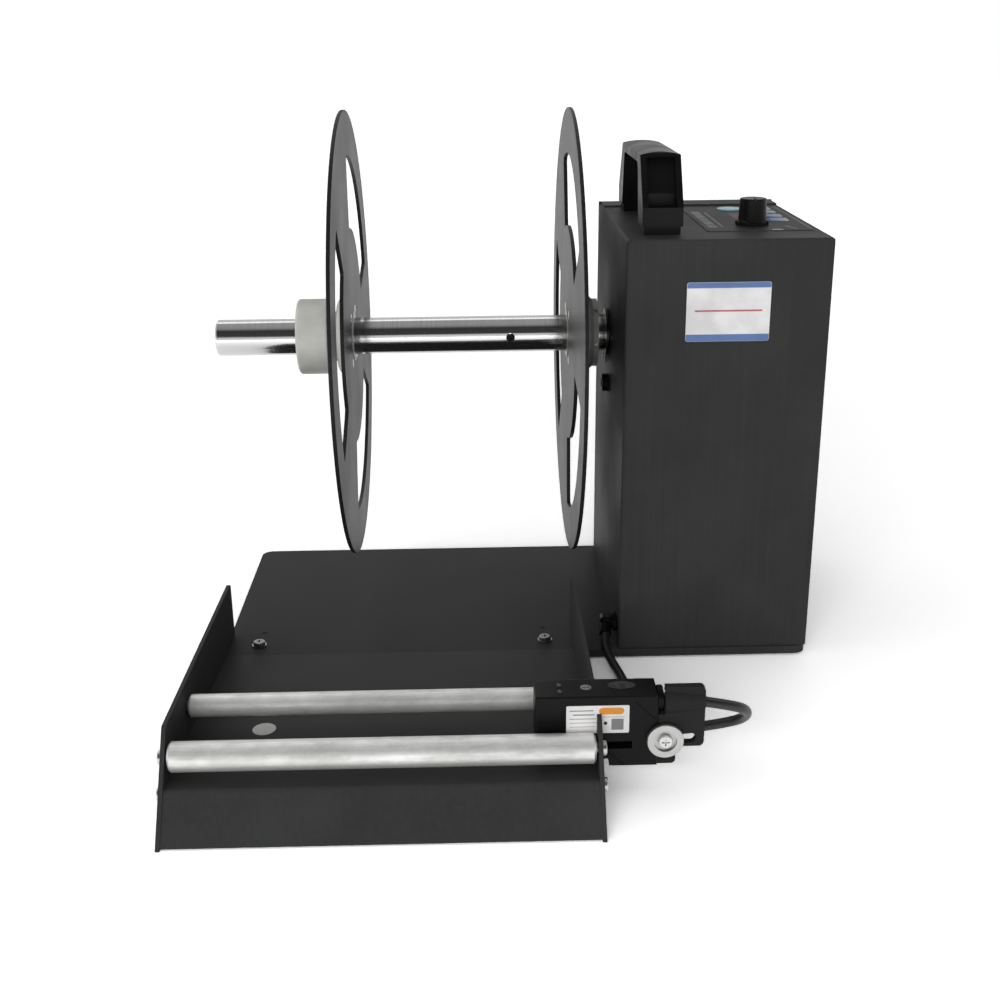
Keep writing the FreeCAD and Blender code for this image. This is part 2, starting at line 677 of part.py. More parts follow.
def bearing(x0):
    body = ring(BEARING_D / 2, SHAFT_D / 2 + RUN_GAP, (x0, SHAFT_Y, SHAFT_Z), BEARING_W, X_AXIS)
    groove = ring(BEARING_D / 2 - BEARING_RACE, SHAFT_D / 2 + BEARING_RACE,
                  (x0 + BEARING_W - 1, SHAFT_Y, SHAFT_Z), 2, X_AXIS)
    return cut(body, groove)


def bearing_blocks():
    return Part.makeCompound([bearing_block(LEFT_SEAT), bearing_block(RIGHT_SEAT)])


def bearings():
    return Part.makeCompound([bearing(bearing_x(LEFT_SEAT)), bearing(bearing_x(RIGHT_SEAT))])


def drive_screws():
    """Bearing block screws from inside the housing, and the gear motor's screws."""
    left = [pan_screw(M5, BLOCK_T + STUD_DEEP, (LEFT_SEAT + BLOCK_T, y, z), V(-1, 0, 0))
            for y, z in block_bolt_places()]
    right = [pan_screw(M5, INNER_WALL_T + BLOCK_T, (INNER_WALL_X0, y, z), X_AXIS)
             for y, z in block_bolt_places()]
    motor = [pan_screw(M4, INNER_WALL_T + MOTOR_SCREW_IN, (INNER_WALL_X0, y, z), X_AXIS)
             for y, z in motor_bolt_places()]
    return Part.makeCompound(left + right + motor)


def inner_wall():
    x0 = INNER_WALL_X0
    wall = box(x0, x0 + INNER_WALL_T, INNER_WALL_Y0, INNER_WALL_Y1, BASE_TOP, HZ1 - INNER_WALL_TOP)
    foot = box(x0, x0 + INNER_WALL_T + INNER_WALL_FOOT, INNER_WALL_Y0, INNER_WALL_Y1,
               BASE_TOP, BASE_TOP + INNER_WALL_T)
    tools = [rod(BEARING_D / 2 - BEARING_RACE, (x0 - 1, SHAFT_Y, SHAFT_Z), INNER_WALL_T + 2, X_AXIS),
             rod(MOTOR_SHAFT_D, (x0 - 1, SHAFT_Y, MOTOR_Z), INNER_WALL_T + 2, X_AXIS)]
    for y, z in block_bolt_places():
        tools.append(rod(M5 / 2, (x0 - 1, y, z), INNER_WALL_T + 2, X_AXIS))
    for y, z in motor_bolt_places():
        tools.append(rod(M4 / 2, (x0 - 1, y, z), INNER_WALL_T + 2, X_AXIS))
    for x, y in base_fixings()[6:]:
        tools.append(rod(M4 / 2, (x, y, BASE_TOP - 1), INNER_WALL_T + 2, Z_AXIS))
    return cut(fuse(wall, foot), *tools)


def motor_bolt_places():
    half = MOTOR_BOLT_PITCH / 2
    return [(SHAFT_Y + a * half, MOTOR_Z + b * half) for a in (-1, 1) for b in (-1, 1)]


def gear_motor():
    x0 = INNER_WALL_X0 + INNER_WALL_T
    half = GEARBOX_W / 2
    gearbox = rounded_box(x0, x0 + GEARBOX_L, SHAFT_Y - half, SHAFT_Y + half,
                          MOTOR_Z - half, MOTOR_Z + half, 4, X_AXIS)
    can = rod(MOTOR_D / 2, (x0 + GEARBOX_L, SHAFT_Y, MOTOR_Z), MOTOR_L, X_AXIS)
    body = fuse(gearbox, can)
    tools = [rod(MOTOR_SHAFT_D / 2 + RUN_GAP, (x0 - 1, SHAFT_Y, MOTOR_Z), GEARBOX_L - 3, X_AXIS)]
    for y, z in motor_bolt_places():
        tools.append(rod(M4 / 2, (x0 - 1, y, z), MOTOR_SCREW_IN + 1, X_AXIS))
    return cut(body, *tools)


def pulley(seat_r, bore_r, axis_z):
    """Belt pulley with two side rims and a set-screw boss towards the inner wall."""
    x0 = HX0 + PULLEY_X
    at = (x0, SHAFT_Y, axis_z)
    body = rod(seat_r, at, PULLEY_W, X_AXIS)
    rims = [rod(seat_r + PULLEY_RIM, (x, SHAFT_Y, axis_z), PULLEY_RIM_T, X_AXIS)
            for x in (x0, x0 + PULLEY_W - PULLEY_RIM_T)]
    boss = rod(bore_r + PULLEY_BOSS_T, (x0 + PULLEY_W, SHAFT_Y, axis_z), PULLEY_BOSS_L, X_AXIS)
    body = fuse(body, boss, *rims)
    screw_hole = rod(M4 / 2, (x0 + PULLEY_W + PULLEY_BOSS_L / 2, SHAFT_Y, axis_z),
                     bore_r + PULLEY_BOSS_T + 1, Z_AXIS)
    bore = rod(bore_r, (x0 - 1, SHAFT_Y, axis_z), PULLEY_W + PULLEY_BOSS_L + 2, X_AXIS)
    return cut(body, bore, screw_hole)


def drive_pulley():
    body = pulley(PULLEY_R, SHAFT_D / 2, SHAFT_Z)
    holes = []
    for index in range(6):
        angle = math.radians(60 * index)
        y = SHAFT_Y + 25 * math.cos(angle)
        z = SHAFT_Z + 25 * math.sin(angle)
        holes.append(rod(4.5, (HX0 + PULLEY_X - 1, y, z), PULLEY_W + 2, X_AXIS))
    return cut(body, *holes)


def motor_pulley():
    return pulley(PINION_R, MOTOR_SHAFT_D / 2, MOTOR_Z)


def motor_shaft():
    x0 = HX0 + PULLEY_X - 2
    x1 = INNER_WALL_X0 + INNER_WALL_T + GEARBOX_L - 5
    return rod(MOTOR_SHAFT_D / 2, (x0, SHAFT_Y, MOTOR_Z), x1 - x0, X_AXIS)


def belt_outline(big_r, small_r, x0, width):
    """Solid inside a loop that wraps the two pulleys."""
    lean = math.asin((big_r - small_r) / MOTOR_DROP)
    cos_l = math.cos(lean)
    sin_l = math.sin(lean)
    top = [(SHAFT_Y - s * big_r * cos_l, SHAFT_Z - big_r * sin_l) for s in (1, -1)]
    low = [(SHAFT_Y - s * small_r * cos_l, MOTOR_Z - small_r * sin_l) for s in (1, -1)]
    points = [V(x0, y, z) for y, z in top + low]
    crown = V(x0, SHAFT_Y, SHAFT_Z + big_r)
    sole = V(x0, SHAFT_Y, MOTOR_Z - small_r)
    edges = [Part.Arc(points[0], crown, points[1]).toShape(),
             Part.makeLine(points[1], points[3]),
             Part.Arc(points[3], sole, points[2]).toShape(),
             Part.makeLine(points[2], points[0])]
    return Part.Face(Part.Wire(edges)).extrude(V(width, 0, 0))


def drive_belt():
    x0 = HX0 + PULLEY_X + PULLEY_RIM_T + BELT_SIDE_GAP
    width = PULLEY_W - 2 * PULLEY_RIM_T - 2 * BELT_SIDE_GAP
    outer = belt_outline(PULLEY_R + BELT_GAP + BELT_T, PINION_R + BELT_GAP + BELT_T, x0, width)
    inner = belt_outline(PULLEY_R + BELT_GAP, PINION_R + BELT_GAP, x0 - 1, width + 2)
    return cut(outer, inner)


# ---- winding shaft ----
def winding_shaft():
    length = SHAFT_OUT + SHAFT_IN
    shaft = rod(SHAFT_D / 2, (SHAFT_X0, SHAFT_Y, SHAFT_Z), length, X_AXIS)
    ends = [e for e in shaft.Edges if e.BoundBox.XLength < 0.1]
    shaft = shaft.makeChamfer(SHAFT_CHAMFER, ends)
    cross_x = HX0 - CROSS_HOLE_OUT
    groove = ring(SHAFT_D, SHAFT_D / 2 - CLIP_DEEP, (clip_x(), SHAFT_Y, SHAFT_Z), CLIP_T, X_AXIS)
    cross = rod(CROSS_HOLE_D / 2, (cross_x, SHAFT_Y - SHAFT_D, SHAFT_Z), 2 * SHAFT_D, Y_AXIS)
    return cut(shaft, groove, cross)


def clip_x():
    return HX0 - CLIP_WALL_GAP - CLIP_T


def shaft_clip():
    """Retaining ring with an open gap and two ears."""
    at = (clip_x(), SHAFT_Y, SHAFT_Z)
    clip = ring(CLIP_D / 2, SHAFT_D / 2 - CLIP_DEEP, at, CLIP_T, X_AXIS)
    gap = box(at[0] - 1, at[0] + CLIP_T + 1, SHAFT_Y - 3, SHAFT_Y + 3, SHAFT_Z - CLIP_D, SHAFT_Z)
    ears = [box(at[0], at[0] + CLIP_T, SHAFT_Y + s * 5.5 - 2.5, SHAFT_Y + s * 5.5 + 2.5,
                SHAFT_Z - CLIP_D / 2 - 2.5, SHAFT_Z - SHAFT_D / 2 - 1.2) for s in (-1, 1)]
    clip = fuse(cut(clip, gap), *ears)
    holes = [rod(1.1, (at[0] - 1, SHAFT_Y + s * 5.5, SHAFT_Z - CLIP_D / 2 - 0.2), CLIP_T + 2, X_AXIS)
             for s in (-1, 1)]
    return cut(clip, *holes)


def window(x_mid, middle):
    """One curved opening between the disc's centre and its rim."""
    half = math.radians(WINDOW_SPAN / 2)

    def at(radius, angle):
        return V(x_mid - DISC_T, SHAFT_Y + radius * math.cos(angle), SHAFT_Z + radius * math.sin(angle))

    low = middle - half
    high = middle + half
    edges = [Part.Arc(at(WINDOW_R_OUT, low), at(WINDOW_R_OUT, middle), at(WINDOW_R_OUT, high)).toShape(),
             Part.makeLine(at(WINDOW_R_OUT, high), at(WINDOW_R_IN, high)),
             Part.Arc(at(WINDOW_R_IN, high), at(WINDOW_R_IN, middle), at(WINDOW_R_IN, low)).toShape(),
             Part.makeLine(at(WINDOW_R_IN, low), at(WINDOW_R_OUT, low))]
    solid = Part.Face(Part.Wire(edges)).extrude(V(2 * DISC_T, 0, 0))
    return solid.makeFillet(WINDOW_CORNER_R, edges_along(solid, X_AXIS))


def flange_disc(x_mid, turn, inward):
    """Disc with three windows; its hub's screws are countersunk from the roll's side."""
    disc = rod(DISC_D / 2, (x_mid - DISC_T / 2, SHAFT_Y, SHAFT_Z), DISC_T, X_AXIS)
    rim = [e for e in disc.Edges if e.BoundBox.XLength < 0.1]
    disc = disc.makeFillet(0.4, rim)
    tools = [rod(DISC_BORE / 2, (x_mid - DISC_T, SHAFT_Y, SHAFT_Z), 2 * DISC_T, X_AXIS)]
    tools += [window(x_mid, math.radians(turn + 120 * index)) for index in range(3)]
    for y, z in hub_bolt_places():
        tools.append(rod(M3 / 2, (x_mid - DISC_T, y, z), 2 * DISC_T, X_AXIS))
        tools.append(sink(M3, (x_mid + inward * DISC_T / 2, y, z), V(-inward, 0, 0)))
    return cut(disc, *tools)


def hub_bolt_places():
    places = []
    for index in range(HUB_BOLTS):
        angle = math.radians(45 + 360.0 / HUB_BOLTS * index)
        places.append((SHAFT_Y + HUB_BOLT_PCD / 2 * math.cos(angle),
                       SHAFT_Z + HUB_BOLT_PCD / 2 * math.sin(angle)))
    return places


def revolve_x(profile):
    """Turn an (x, radius) outline round the shaft axis."""
    points = [V(x, SHAFT_Y, SHAFT_Z + r) for x, r in profile]
    wire = Part.makePolygon(points + points[:1])
    return Part.Face(wire).revolve(V(0, SHAFT_Y, SHAFT_Z), X_AXIS, 360)


def round_rim(shape, radius, xs):
    """Round the hub's outer rims at the given x."""
    rims = [e for e in shape.Edges
            if isinstance(e.Curve, Part.Circle) and abs(e.Curve.Radius - HUB_D / 2) < 0.01
            and any(abs(e.BoundBox.XMin - x) < 0.05 for x in xs)]
    return shape.makeFillet(radius, rims)


def outer_hub():
    face = OUTER_DISC_X - DISC_T / 2
    neck1 = face - HUB_FLANGE_L
    neck0 = neck1 - HUB_NECK_L
    end = neck0 - HUB_COLLAR_L
    bore = SHAFT_D / 2 + RUN_GAP
    spigot = OUTER_DISC_X + DISC_T / 2 + HUB_SPIGOT_OUT
    hub = revolve_x([(end, bore), (end, HUB_D / 2), (neck0, HUB_D / 2), (neck0, HUB_NECK_D / 2),
                     (neck1, HUB_NECK_D / 2), (neck1, HUB_D / 2), (face, HUB_D / 2),
                     (face, HUB_SPIGOT_D / 2), (spigot, HUB_SPIGOT_D / 2), (spigot, bore)])
    hub = round_rim(hub, HUB_EDGE_R, (end, neck0))
    hub = round_rim(hub, HUB_FLANGE_R, (neck1,))
    tools = [rod(M3 / 2, (face - HUB_SCREW_DEEP, y, z), HUB_SCREW_DEEP + 1, X_AXIS)
             for y, z in hub_bolt_places()]
    tools.append(rod(M5 / 2, (lock_screw_x(), SHAFT_Y, SHAFT_Z), HUB_D, Y_AXIS))
    return cut(hub, *tools)


def lock_screw_x():
    return OUTER_DISC_X - DISC_T / 2 - HUB_FLANGE_L - HUB_NECK_L - HUB_COLLAR_L / 2


def set_screw(size, start_r, length):
    """Hexagon-socket set screw along +Z, its tip start_r from the origin."""
    body = Part.makeCylinder(size / 2, length, V(0, 0, start_r))
    socket = Part.makeCylinder(0.26 * size, length, V(0, 0, start_r + length - 0.6 * size))
    return cut(body, socket)


def outer_hub_screws():
    """Countersunk screws that hold the disc on its hub, and the set screw that locks it on the shaft."""
    start = OUTER_DISC_X + DISC_T / 2
    screws = [flat_screw(M3, DISC_T + HUB_SCREW_DEEP, (start, y, z), V(-1, 0, 0))
              for y, z in hub_bolt_places()]
    lock = set_screw(M5, SHAFT_D / 2 + 2 * RUN_GAP, (HUB_D - SHAFT_D) / 2 - 3)
    screws.append(turned(lock, (lock_screw_x(), SHAFT_Y, SHAFT_Z), Y_AXIS))
    return Part.makeCompound(screws)


def inner_hub_screw_axes():
    """Start on the shaft's axis and direction of each set screw in the inner hub."""
    x = INNER_DISC_X + DISC_T / 2 + INNER_HUB_L - INNER_HUB_NOSE_L / 2
    turns = [math.radians(t) for t in INNER_HUB_SCREW_TURNS]
    return [((x, SHAFT_Y, SHAFT_Z), V(0, -math.cos(t), math.sin(t))) for t in turns]


def inner_hub():
    face = INNER_DISC_X + DISC_T / 2
    end = face + INNER_HUB_L
    nose = end - INNER_HUB_NOSE_L
    spigot = INNER_DISC_X - DISC_T / 2 - HUB_SPIGOT_OUT
    bore = SHAFT_D / 2
    hub = revolve_x([(spigot, bore), (spigot, HUB_SPIGOT_D / 2), (face, HUB_SPIGOT_D / 2),
                     (face, HUB_D / 2), (nose - INNER_HUB_CONE_L, HUB_D / 2),
                     (nose, INNER_HUB_NOSE_D / 2), (end, INNER_HUB_NOSE_D / 2), (end, bore)])
    tools = [rod(M3 / 2, (face - 1, y, z), HUB_SCREW_DEEP + 1, X_AXIS) for y, z in hub_bolt_places()]
    tools += [rod(M3 / 2, at, HUB_D, axis) for at, axis in inner_hub_screw_axes()]
    return cut(hub, *tools)


def inner_hub_screws():
    """Countersunk screws of the inner disc and the hub's two set screws."""
    start = INNER_DISC_X - DISC_T / 2
    screws = [flat_screw(M3, DISC_T + HUB_SCREW_DEEP, (start, y, z), X_AXIS) for y, z in hub_bolt_places()]
    grub = set_screw(M3, SHAFT_D / 2, INNER_HUB_SCREW_L)
    screws += [turned(grub, at, axis) for at, axis in inner_hub_screw_axes()]
    return Part.makeCompound(screws)


# ---- control panel ----
def control_panel():
    panel = rounded_box(PX0, PX0 + PANEL_W, PY0, PY0 + PANEL_D, HZ1, HZ1 + PANEL_T, 3, Z_AXIS)
    tools = panel_cutouts(HZ1 - 1, HZ1 + PANEL_T + 1, FIT_GAP)
    tools.append(rod(POT_BUSH_D / 2, (PX0 + KNOB_X, PY0 + KNOB_Y, HZ1 - 1), PANEL_T + 2, Z_AXIS))
    return cut(panel, *tools)


def display_window():
    return display_box(HZ1 - SHEET, HZ1 + PANEL_T)


def key_heights():
    top = HZ1 + PANEL_T + KEY_UP
    shoulder = HZ1 - SHEET - 0.1
    return top, shoulder


def key_stem(x_mid, y_mid, shoulder):
    return rod(KEY_STEM_D / 2, (x_mid, y_mid, shoulder - KEY_FLANGE - 1), 1, Z_AXIS)


def key_cap(y):
    x_mid = PX0 + KEY_X
    y_mid = PY0 + y
    top, shoulder = key_heights()
    cap = box(x_mid - KEY_W / 2, x_mid + KEY_W / 2, y_mid - KEY_D / 2, y_mid + KEY_D / 2, shoulder, top)
    cap = cap.makeFillet(0.4, [e for e in cap.Edges if e.BoundBox.ZMin > top - 0.01])
    half_w = KEY_W / 2 + KEY_FLANGE_OUT
    half_d = KEY_D / 2 + KEY_FLANGE_OUT
    flange = box(x_mid - half_w, x_mid + half_w, y_mid - half_d, y_mid + half_d,
                 shoulder - KEY_FLANGE, shoulder)
    return fuse(cap, flange, key_stem(x_mid, y_mid, shoulder))


def round_key():
    x_mid = PX0 + ROUND_KEY_X
    y_mid = PY0 + ROUND_KEY_Y
    top, shoulder = key_heights()
    cap = rod(ROUND_KEY_D / 2, (x_mid, y_mid, shoulder), top - shoulder, Z_AXIS)
    cap = cap.makeFillet(0.4, [e for e in cap.Edges if e.BoundBox.ZMin > top - 0.01])
    flange = rod(ROUND_KEY_D / 2 + KEY_FLANGE_OUT, (x_mid, y_mid, shoulder - KEY_FLANGE), KEY_FLANGE, Z_AXIS)
    return fuse(cap, flange, key_stem(x_mid, y_mid, shoulder))


def panel_board():
    """Circuit board under the top with a push switch below each key and the digit module."""
    top = HZ1 - SHEET - PANEL_BOARD_DROP
    board = box(PX0, PX0 + PANEL_W, PY0, PY0 + PANEL_D, top - BOARD_T, top)
    stem_low = key_heights()[1] - KEY_FLANGE - 1
    switch_top = stem_low - KEY_TRAVEL - 0.1
    half = SWITCH_W / 2
    keys = [(PX0 + KEY_X, PY0 + y) for y in KEY_YS] + [(PX0 + ROUND_KEY_X, PY0 + ROUND_KEY_Y)]
    blocks = [box(x - half, x + half, y - half, y + half, top - 0.2, switch_top) for x, y in keys]
    blocks.append(display_box(top - 0.2, HZ1 - SHEET))
    room = POT_D / 2 + 1
    x_pot = PX0 + KNOB_X
    y_pot = PY0 + KNOB_Y
    pot_room = box(x_pot - room, x_pot + room, y_pot - room, y_pot + room, top - 3, top + 1)
    holes = [rod(M3 / 2, (x, y, top - 3), 4, Z_AXIS) for x, y in post_places()]
    return cut(fuse(board, *blocks), pot_room, *holes)


def knob_base():
    return HZ1 + PANEL_T + KNOB_LIFT


def speed_knob():
    """Tapered knob with a scalloped skirt, on its spindle."""
    x = PX0 + KNOB_X
    y = PY0 + KNOB_Y
    z = knob_base()
    skirt = rod(KNOB_SKIRT_D / 2, (x, y, z), KNOB_SKIRT_H, Z_AXIS)
    skirt = skirt.makeChamfer(1.0, [e for e in skirt.Edges if e.BoundBox.ZMin > z + 1])
    scallops = []
    for index in range(KNOB_SCALLOPS):
        angle = 2 * math.pi * index / KNOB_SCALLOPS
        reach = KNOB_SKIRT_D / 2 + 0.6 * KNOB_SCALLOP_R
        at = (x + reach * math.cos(angle), y + reach * math.sin(angle), z - 1)
        scallops.append(rod(KNOB_SCALLOP_R, at, KNOB_SKIRT_H + 2, Z_AXIS))
    body = Part.makeCone(KNOB_LOW_D / 2, KNOB_TOP_D / 2, KNOB_H, V(x, y, z))
    body = body.makeFillet(0.8, [e for e in body.Edges if e.BoundBox.ZMin > z + 1])
    pointer = box(x - 0.6, x + 0.6, y - KNOB_TOP_D, y - 2, z + KNOB_H - 0.5, z + KNOB_H + 1)
    bore = rod(POT_SHAFT_D / 2, (x, y, z - 1), 1 + spindle_top() - z, Z_AXIS)
    nut_room = rod(POT_NUT_D / 2 + 0.8, (x, y, z - 1), 3.4, Z_AXIS)
    knob = cut(fuse(cut(skirt, *scallops), body), pointer, bore, nut_room)
    spindle_low = HZ1 - SHEET - POT_H + 2
    spindle = rod(POT_SHAFT_D / 2, (x, y, spindle_low), spindle_top() - spindle_low, Z_AXIS)
    return Part.makeCompound([knob, spindle])


def spindle_top():
    return knob_base() + KNOB_GRIP_DEEP


def potentiometer():
    x = PX0 + KNOB_X
    y = PY0 + KNOB_Y
    can = rod(POT_D / 2, (x, y, HZ1 - SHEET - POT_H), POT_H, Z_AXIS)
    bush = rod(POT_BUSH_D / 2, (x, y, HZ1 - SHEET), SHEET + PANEL_T + 2.2, Z_AXIS)
    nut = rod(POT_NUT_D / 2, (x, y, HZ1 + PANEL_T), 1.8, Z_AXIS)
    bore = rod(POT_SHAFT_D / 2 + RUN_GAP, (x, y, HZ1 - SHEET - POT_H + 1.9), POT_H + 10, Z_AXIS)
    return cut(fuse(can, bush, nut), bore)


# ---- carry handle ----
def handle_end(z):
    """Lean of the handle's end faces at height z."""
    z_foot = HZ1 + HANDLE_FOOT_H
    z_top = HZ1 + HANDLE_H + HANDLE_CROWN
    return HANDLE_LEAN * (z - z_foot) / (z_top - z_foot)


def carry_handle():
    """Bridge handle: two hollow-faced legs and a thin crowned grip."""
    x0 = HX0 + HANDLE_X
    x1 = x0 + HANDLE_W
    x_mid = (x0 + x1) / 2
    y0 = HANDLE_Y0
    y1 = HANDLE_Y1
    z_foot = HZ1 + HANDLE_FOOT_H
    z_side = HZ1 + HANDLE_H
    z_top = z_side + HANDLE_CROWN
    z_open = z_side - HANDLE_GRIP_T
    inner = HANDLE_LEG + HANDLE_LEG_LEAN
    body = prism_x([(y0, HZ1), (y0, z_foot), (y0 + HANDLE_LEAN, z_top), (y1 - HANDLE_LEAN, z_top),
                    (y1, z_foot), (y1, HZ1), (y1 - HANDLE_LEG, HZ1), (y1 - inner, z_open),
                    (y0 + inner, z_open), (y0 + HANDLE_LEG, HZ1)], x0, x1)
    along = edges_along(body, X_AXIS)
    body = body.makeFillet(HANDLE_TOP_R, [e for e in along if e.BoundBox.ZMin > z_top - 0.1])
    along = edges_along(body, X_AXIS)
    body = body.makeFillet(HANDLE_OPEN_R, [e for e in along if abs(e.BoundBox.ZMin - z_open) < 0.1])
    crown_r = ((HANDLE_W / 2) ** 2 + HANDLE_CROWN ** 2) / (2 * HANDLE_CROWN)
    body = body.common(rod(crown_r, (x_mid, y0 - 1, z_top - crown_r), HANDLE_L + 2, Y_AXIS))
    web_x0 = x_mid - HANDLE_WEB_W / 2
    web_x1 = x_mid + HANDLE_WEB_W / 2
    web_low = z_foot + HANDLE_POCKET_H
    web_top = z_side - HANDLE_WEB_TOP
    strip_z = HZ1 + HANDLE_BASE_H
    tools = [rod(M4 / 2, (x, y, HZ1 - 1), HANDLE_SCREW_L + 2, Z_AXIS) for x, y in handle_screw_places()]
    for side, y in ((1, y0), (-1, y1)):
        outside = y - side * 5
        low_y = y + side * (handle_end(web_low) + HANDLE_WEB_DEEP)
        top_y = y + side * (handle_end(web_top) + HANDLE_WEB_DEEP)
        web = [(outside, web_low), (low_y, web_low), (top_y, web_top), (outside, web_top)]
        tools.append(prism_x(web, web_x0, web_x1))
        deep = y + side * HANDLE_POCKET_DEEP
        tools.append(box(web_x0, web_x1, min(outside, deep), max(outside, deep), z_foot, web_low))
        strip = y + side * HANDLE_BASE_IN
        tools.append(box(x0 - 1, x1 + 1, min(outside, strip), max(outside, strip), HZ1 - 1, strip_z))
    for side_x0, side_x1 in ((x0, x0 + HANDLE_BASE_IN), (x1 - HANDLE_BASE_IN, x1)):
        tools.append(box(side_x0, side_x1, y0 - 1, y1 + 1, HZ1 - 1, strip_z))
    return cut(body, *tools)


# ---- sockets ----
def signal_socket():
    y = HY0 + SOCKET_BACK
    z = BASE_TOP + SOCKET_HIGH
    rim = rod(SOCKET_RIM_D / 2, (HX0, y, z), SOCKET_OUT, V(-1, 0, 0))
    rim = rim.makeFillet(0.8, [e for e in rim.Edges if e.BoundBox.XMax < HX0 - 1])
    body = rod(SOCKET_D / 2, (HX0, y, z), SOCKET_IN, X_AXIS)
    nut = rod(SOCKET_NUT_D / 2, (LEFT_SEAT, y, z), 2.5, X_AXIS)
    well = rod(SOCKET_D / 2 - 1.0, (HX0 - SOCKET_OUT - 1, y, z), SOCKET_OUT + 4, X_AXIS)
    shell = cut(fuse(rim, body, nut), well)
    pins = []
    for index in range(4):
        angle = math.radians(45 + 90 * index)
        pins.append(rod(0.5, (HX0 - SOCKET_OUT + 1.5, y + 2.2 * math.cos(angle), z + 2.2 * math.sin(angle)),
                        SOCKET_OUT + 2, X_AXIS))
    return fuse(shell, *pins)


def cable_plug():
    """Angled plug low on the housing's left wall; its nose takes the cable."""
    y = HY0 + PLUG_BACK
    z = BASE_TOP + PLUG_HIGH
    seat = HX0 - PLUG_COLLAR_T
    half = PLUG_BODY_W / 2
    body = box(seat - PLUG_BODY_L, seat, y - half, y + half, z - half, z + half)
    body = body.makeChamfer(PLUG_BODY_EDGE, body.Edges)
    collar = rod(PLUG_COLLAR_D / 2, (seat, y, z), PLUG_COLLAR_T, X_AXIS)
    throat = rod(PLUG_THROAT_D / 2 - FIT_GAP, (seat - 1, y, z), PLUG_COLLAR_T + SHEET + 6, X_AXIS)
    middle = V(seat - PLUG_BODY_L / 2, y, z)
    end = V(*CABLE_ROUTE[-1])
    run = (end - V(*CABLE_ROUTE[-2])).normalize()
    tip_r = CABLE_D / 2 + PLUG_NOSE_WALL
    nose = Part.makeCone(tip_r, PLUG_NOSE_D / 2, end.distanceToPoint(middle), end, run)
    return fuse(body, collar, throat, nose)


def power_inlet():
    x = HX0 + INLET_X
    z = BASE_TOP + INLET_HIGH
    wide, high, deep = INLET
    flange_w, flange_h, flange_t = INLET_FLANGE
    body = box(x - wide / 2, x + wide / 2, HY1 - deep, HY1, z - high / 2, z + high / 2)
    flange = rounded_box(x - flange_w / 2, x + flange_w / 2, HY1, HY1 + flange_t,
                         z - flange_h / 2, z + flange_h / 2, 4, Y_AXIS)
    well = box(x - 12, x + 12, HY1 - 15, HY1 + flange_t + 1, z - 7, z + 7)
    chamfers = [e for e in edges_along(well, Y_AXIS) if e.BoundBox.ZMin > z]
    well = well.makeChamfer(3.5, chamfers)
    holes = [rod(M3 / 2, (hx, HY1 - 1, hz), flange_t + 2, Y_AXIS) for hx, hz in inlet_screw_places()]
    shell = cut(fuse(body, flange), well, *holes)
    blades = [box(x + s * 7 - 1, x + s * 7 + 1, HY1 - 16, HY1 - 2, z - 4, z + 1) for s in (-1, 1)]
    blades.append(box(x - 1, x + 1, HY1 - 16, HY1 - 2, z + 0.5, z + 5.5))
    return fuse(shell, *blades)


def rocker_frame():
    x = HX0 + ROCKER_X
    z = BASE_TOP + INLET_HIGH
    wide, high = ROCKER
    body = box(x - wide / 2, x + wide / 2, HY1 - 16, HY1, z - high / 2, z + high / 2)
    bezel = rounded_box(x - ROCKER_FRAME[0] / 2, x + ROCKER_FRAME[0] / 2, HY1, HY1 + 1.5,
                        z - ROCKER_FRAME[1] / 2, z + ROCKER_FRAME[1] / 2, 1, Y_AXIS)
    well = box(x - wide / 2 + ROCKER_WALL, x + wide / 2 - ROCKER_WALL, HY1 - 9, HY1 + 2,
               z - high / 2 + ROCKER_WALL, z + high / 2 - ROCKER_WALL)
    return cut(fuse(body, bezel), well, rocker_pin(ROCKER_PIN_D / 2 + RUN_GAP, FIT_GAP))


def rocker_pin(radius, end_gap):
    """Cross pin of the rocker, or the blind bores that hold it."""
    reach = ROCKER[0] / 2 - ROCKER_WALL + ROCKER_PIN_IN + end_gap
    at = (HX0 + ROCKER_X - reach, HY1 - ROCKER_AXIS, BASE_TOP + INLET_HIGH)
    return rod(radius, at, 2 * reach, X_AXIS)


def power_rocker():
    """Rocker on a cross pin; one end stands out at rest."""
    x = HX0 + ROCKER_X
    z = BASE_TOP + INLET_HIGH
    half_w = ROCKER[0] / 2 - ROCKER_WALL - FIT_GAP
    half_h = ROCKER[1] / 2 - 2.2
    y_pin = HY1 - ROCKER_AXIS
    outline = [(y_pin - 2.0, z - 1.5), (y_pin + 1.2, z - half_h), (y_pin + 4.0, z - half_h), (y_pin + 4.6, z),
               (y_pin + 4.0, z + half_h), (y_pin + 1.2, z + half_h), (y_pin - 2.0, z + 1.5)]
    body = prism_x(outline, x - half_w, x + half_w)
    body.rotate(V(x, y_pin, z), X_AXIS, 9)
    return fuse(body, rocker_pin(ROCKER_PIN_D / 2, 0))


def control_board():
    """Power and control board on the base plate."""
    posts = board_posts()
    z = BASE_TOP + SPACER_L
    x0 = posts[0][0] - BOARD_EDGE
    y0 = posts[0][1] - BOARD_EDGE
    low = z + BOARD_T - 0.2
    board = box(x0, x0 + BOARD_PITCH_X + 2 * BOARD_EDGE, y0, y0 + BOARD_PITCH_Y + 2 * BOARD_EDGE,
                z, z + BOARD_T)
    pieces = [box(x0 + dx, x0 + dx + wide, y0 + dy, y0 + dy + deep, low, z + high)
              for dx, dy, wide, deep, high in BOARD_PARTS]
    pieces += [rod(CAPACITOR_D / 2, (x0 + dx, y0 + CAPACITOR_Y, low), CAPACITOR_H, Z_AXIS)
               for dx in CAPACITOR_XS]
    holes = [rod(M3 / 2, (x, y, z - 1), BOARD_T + 2, Z_AXIS) for x, y in posts]
    return cut(fuse(board, *pieces), *holes)


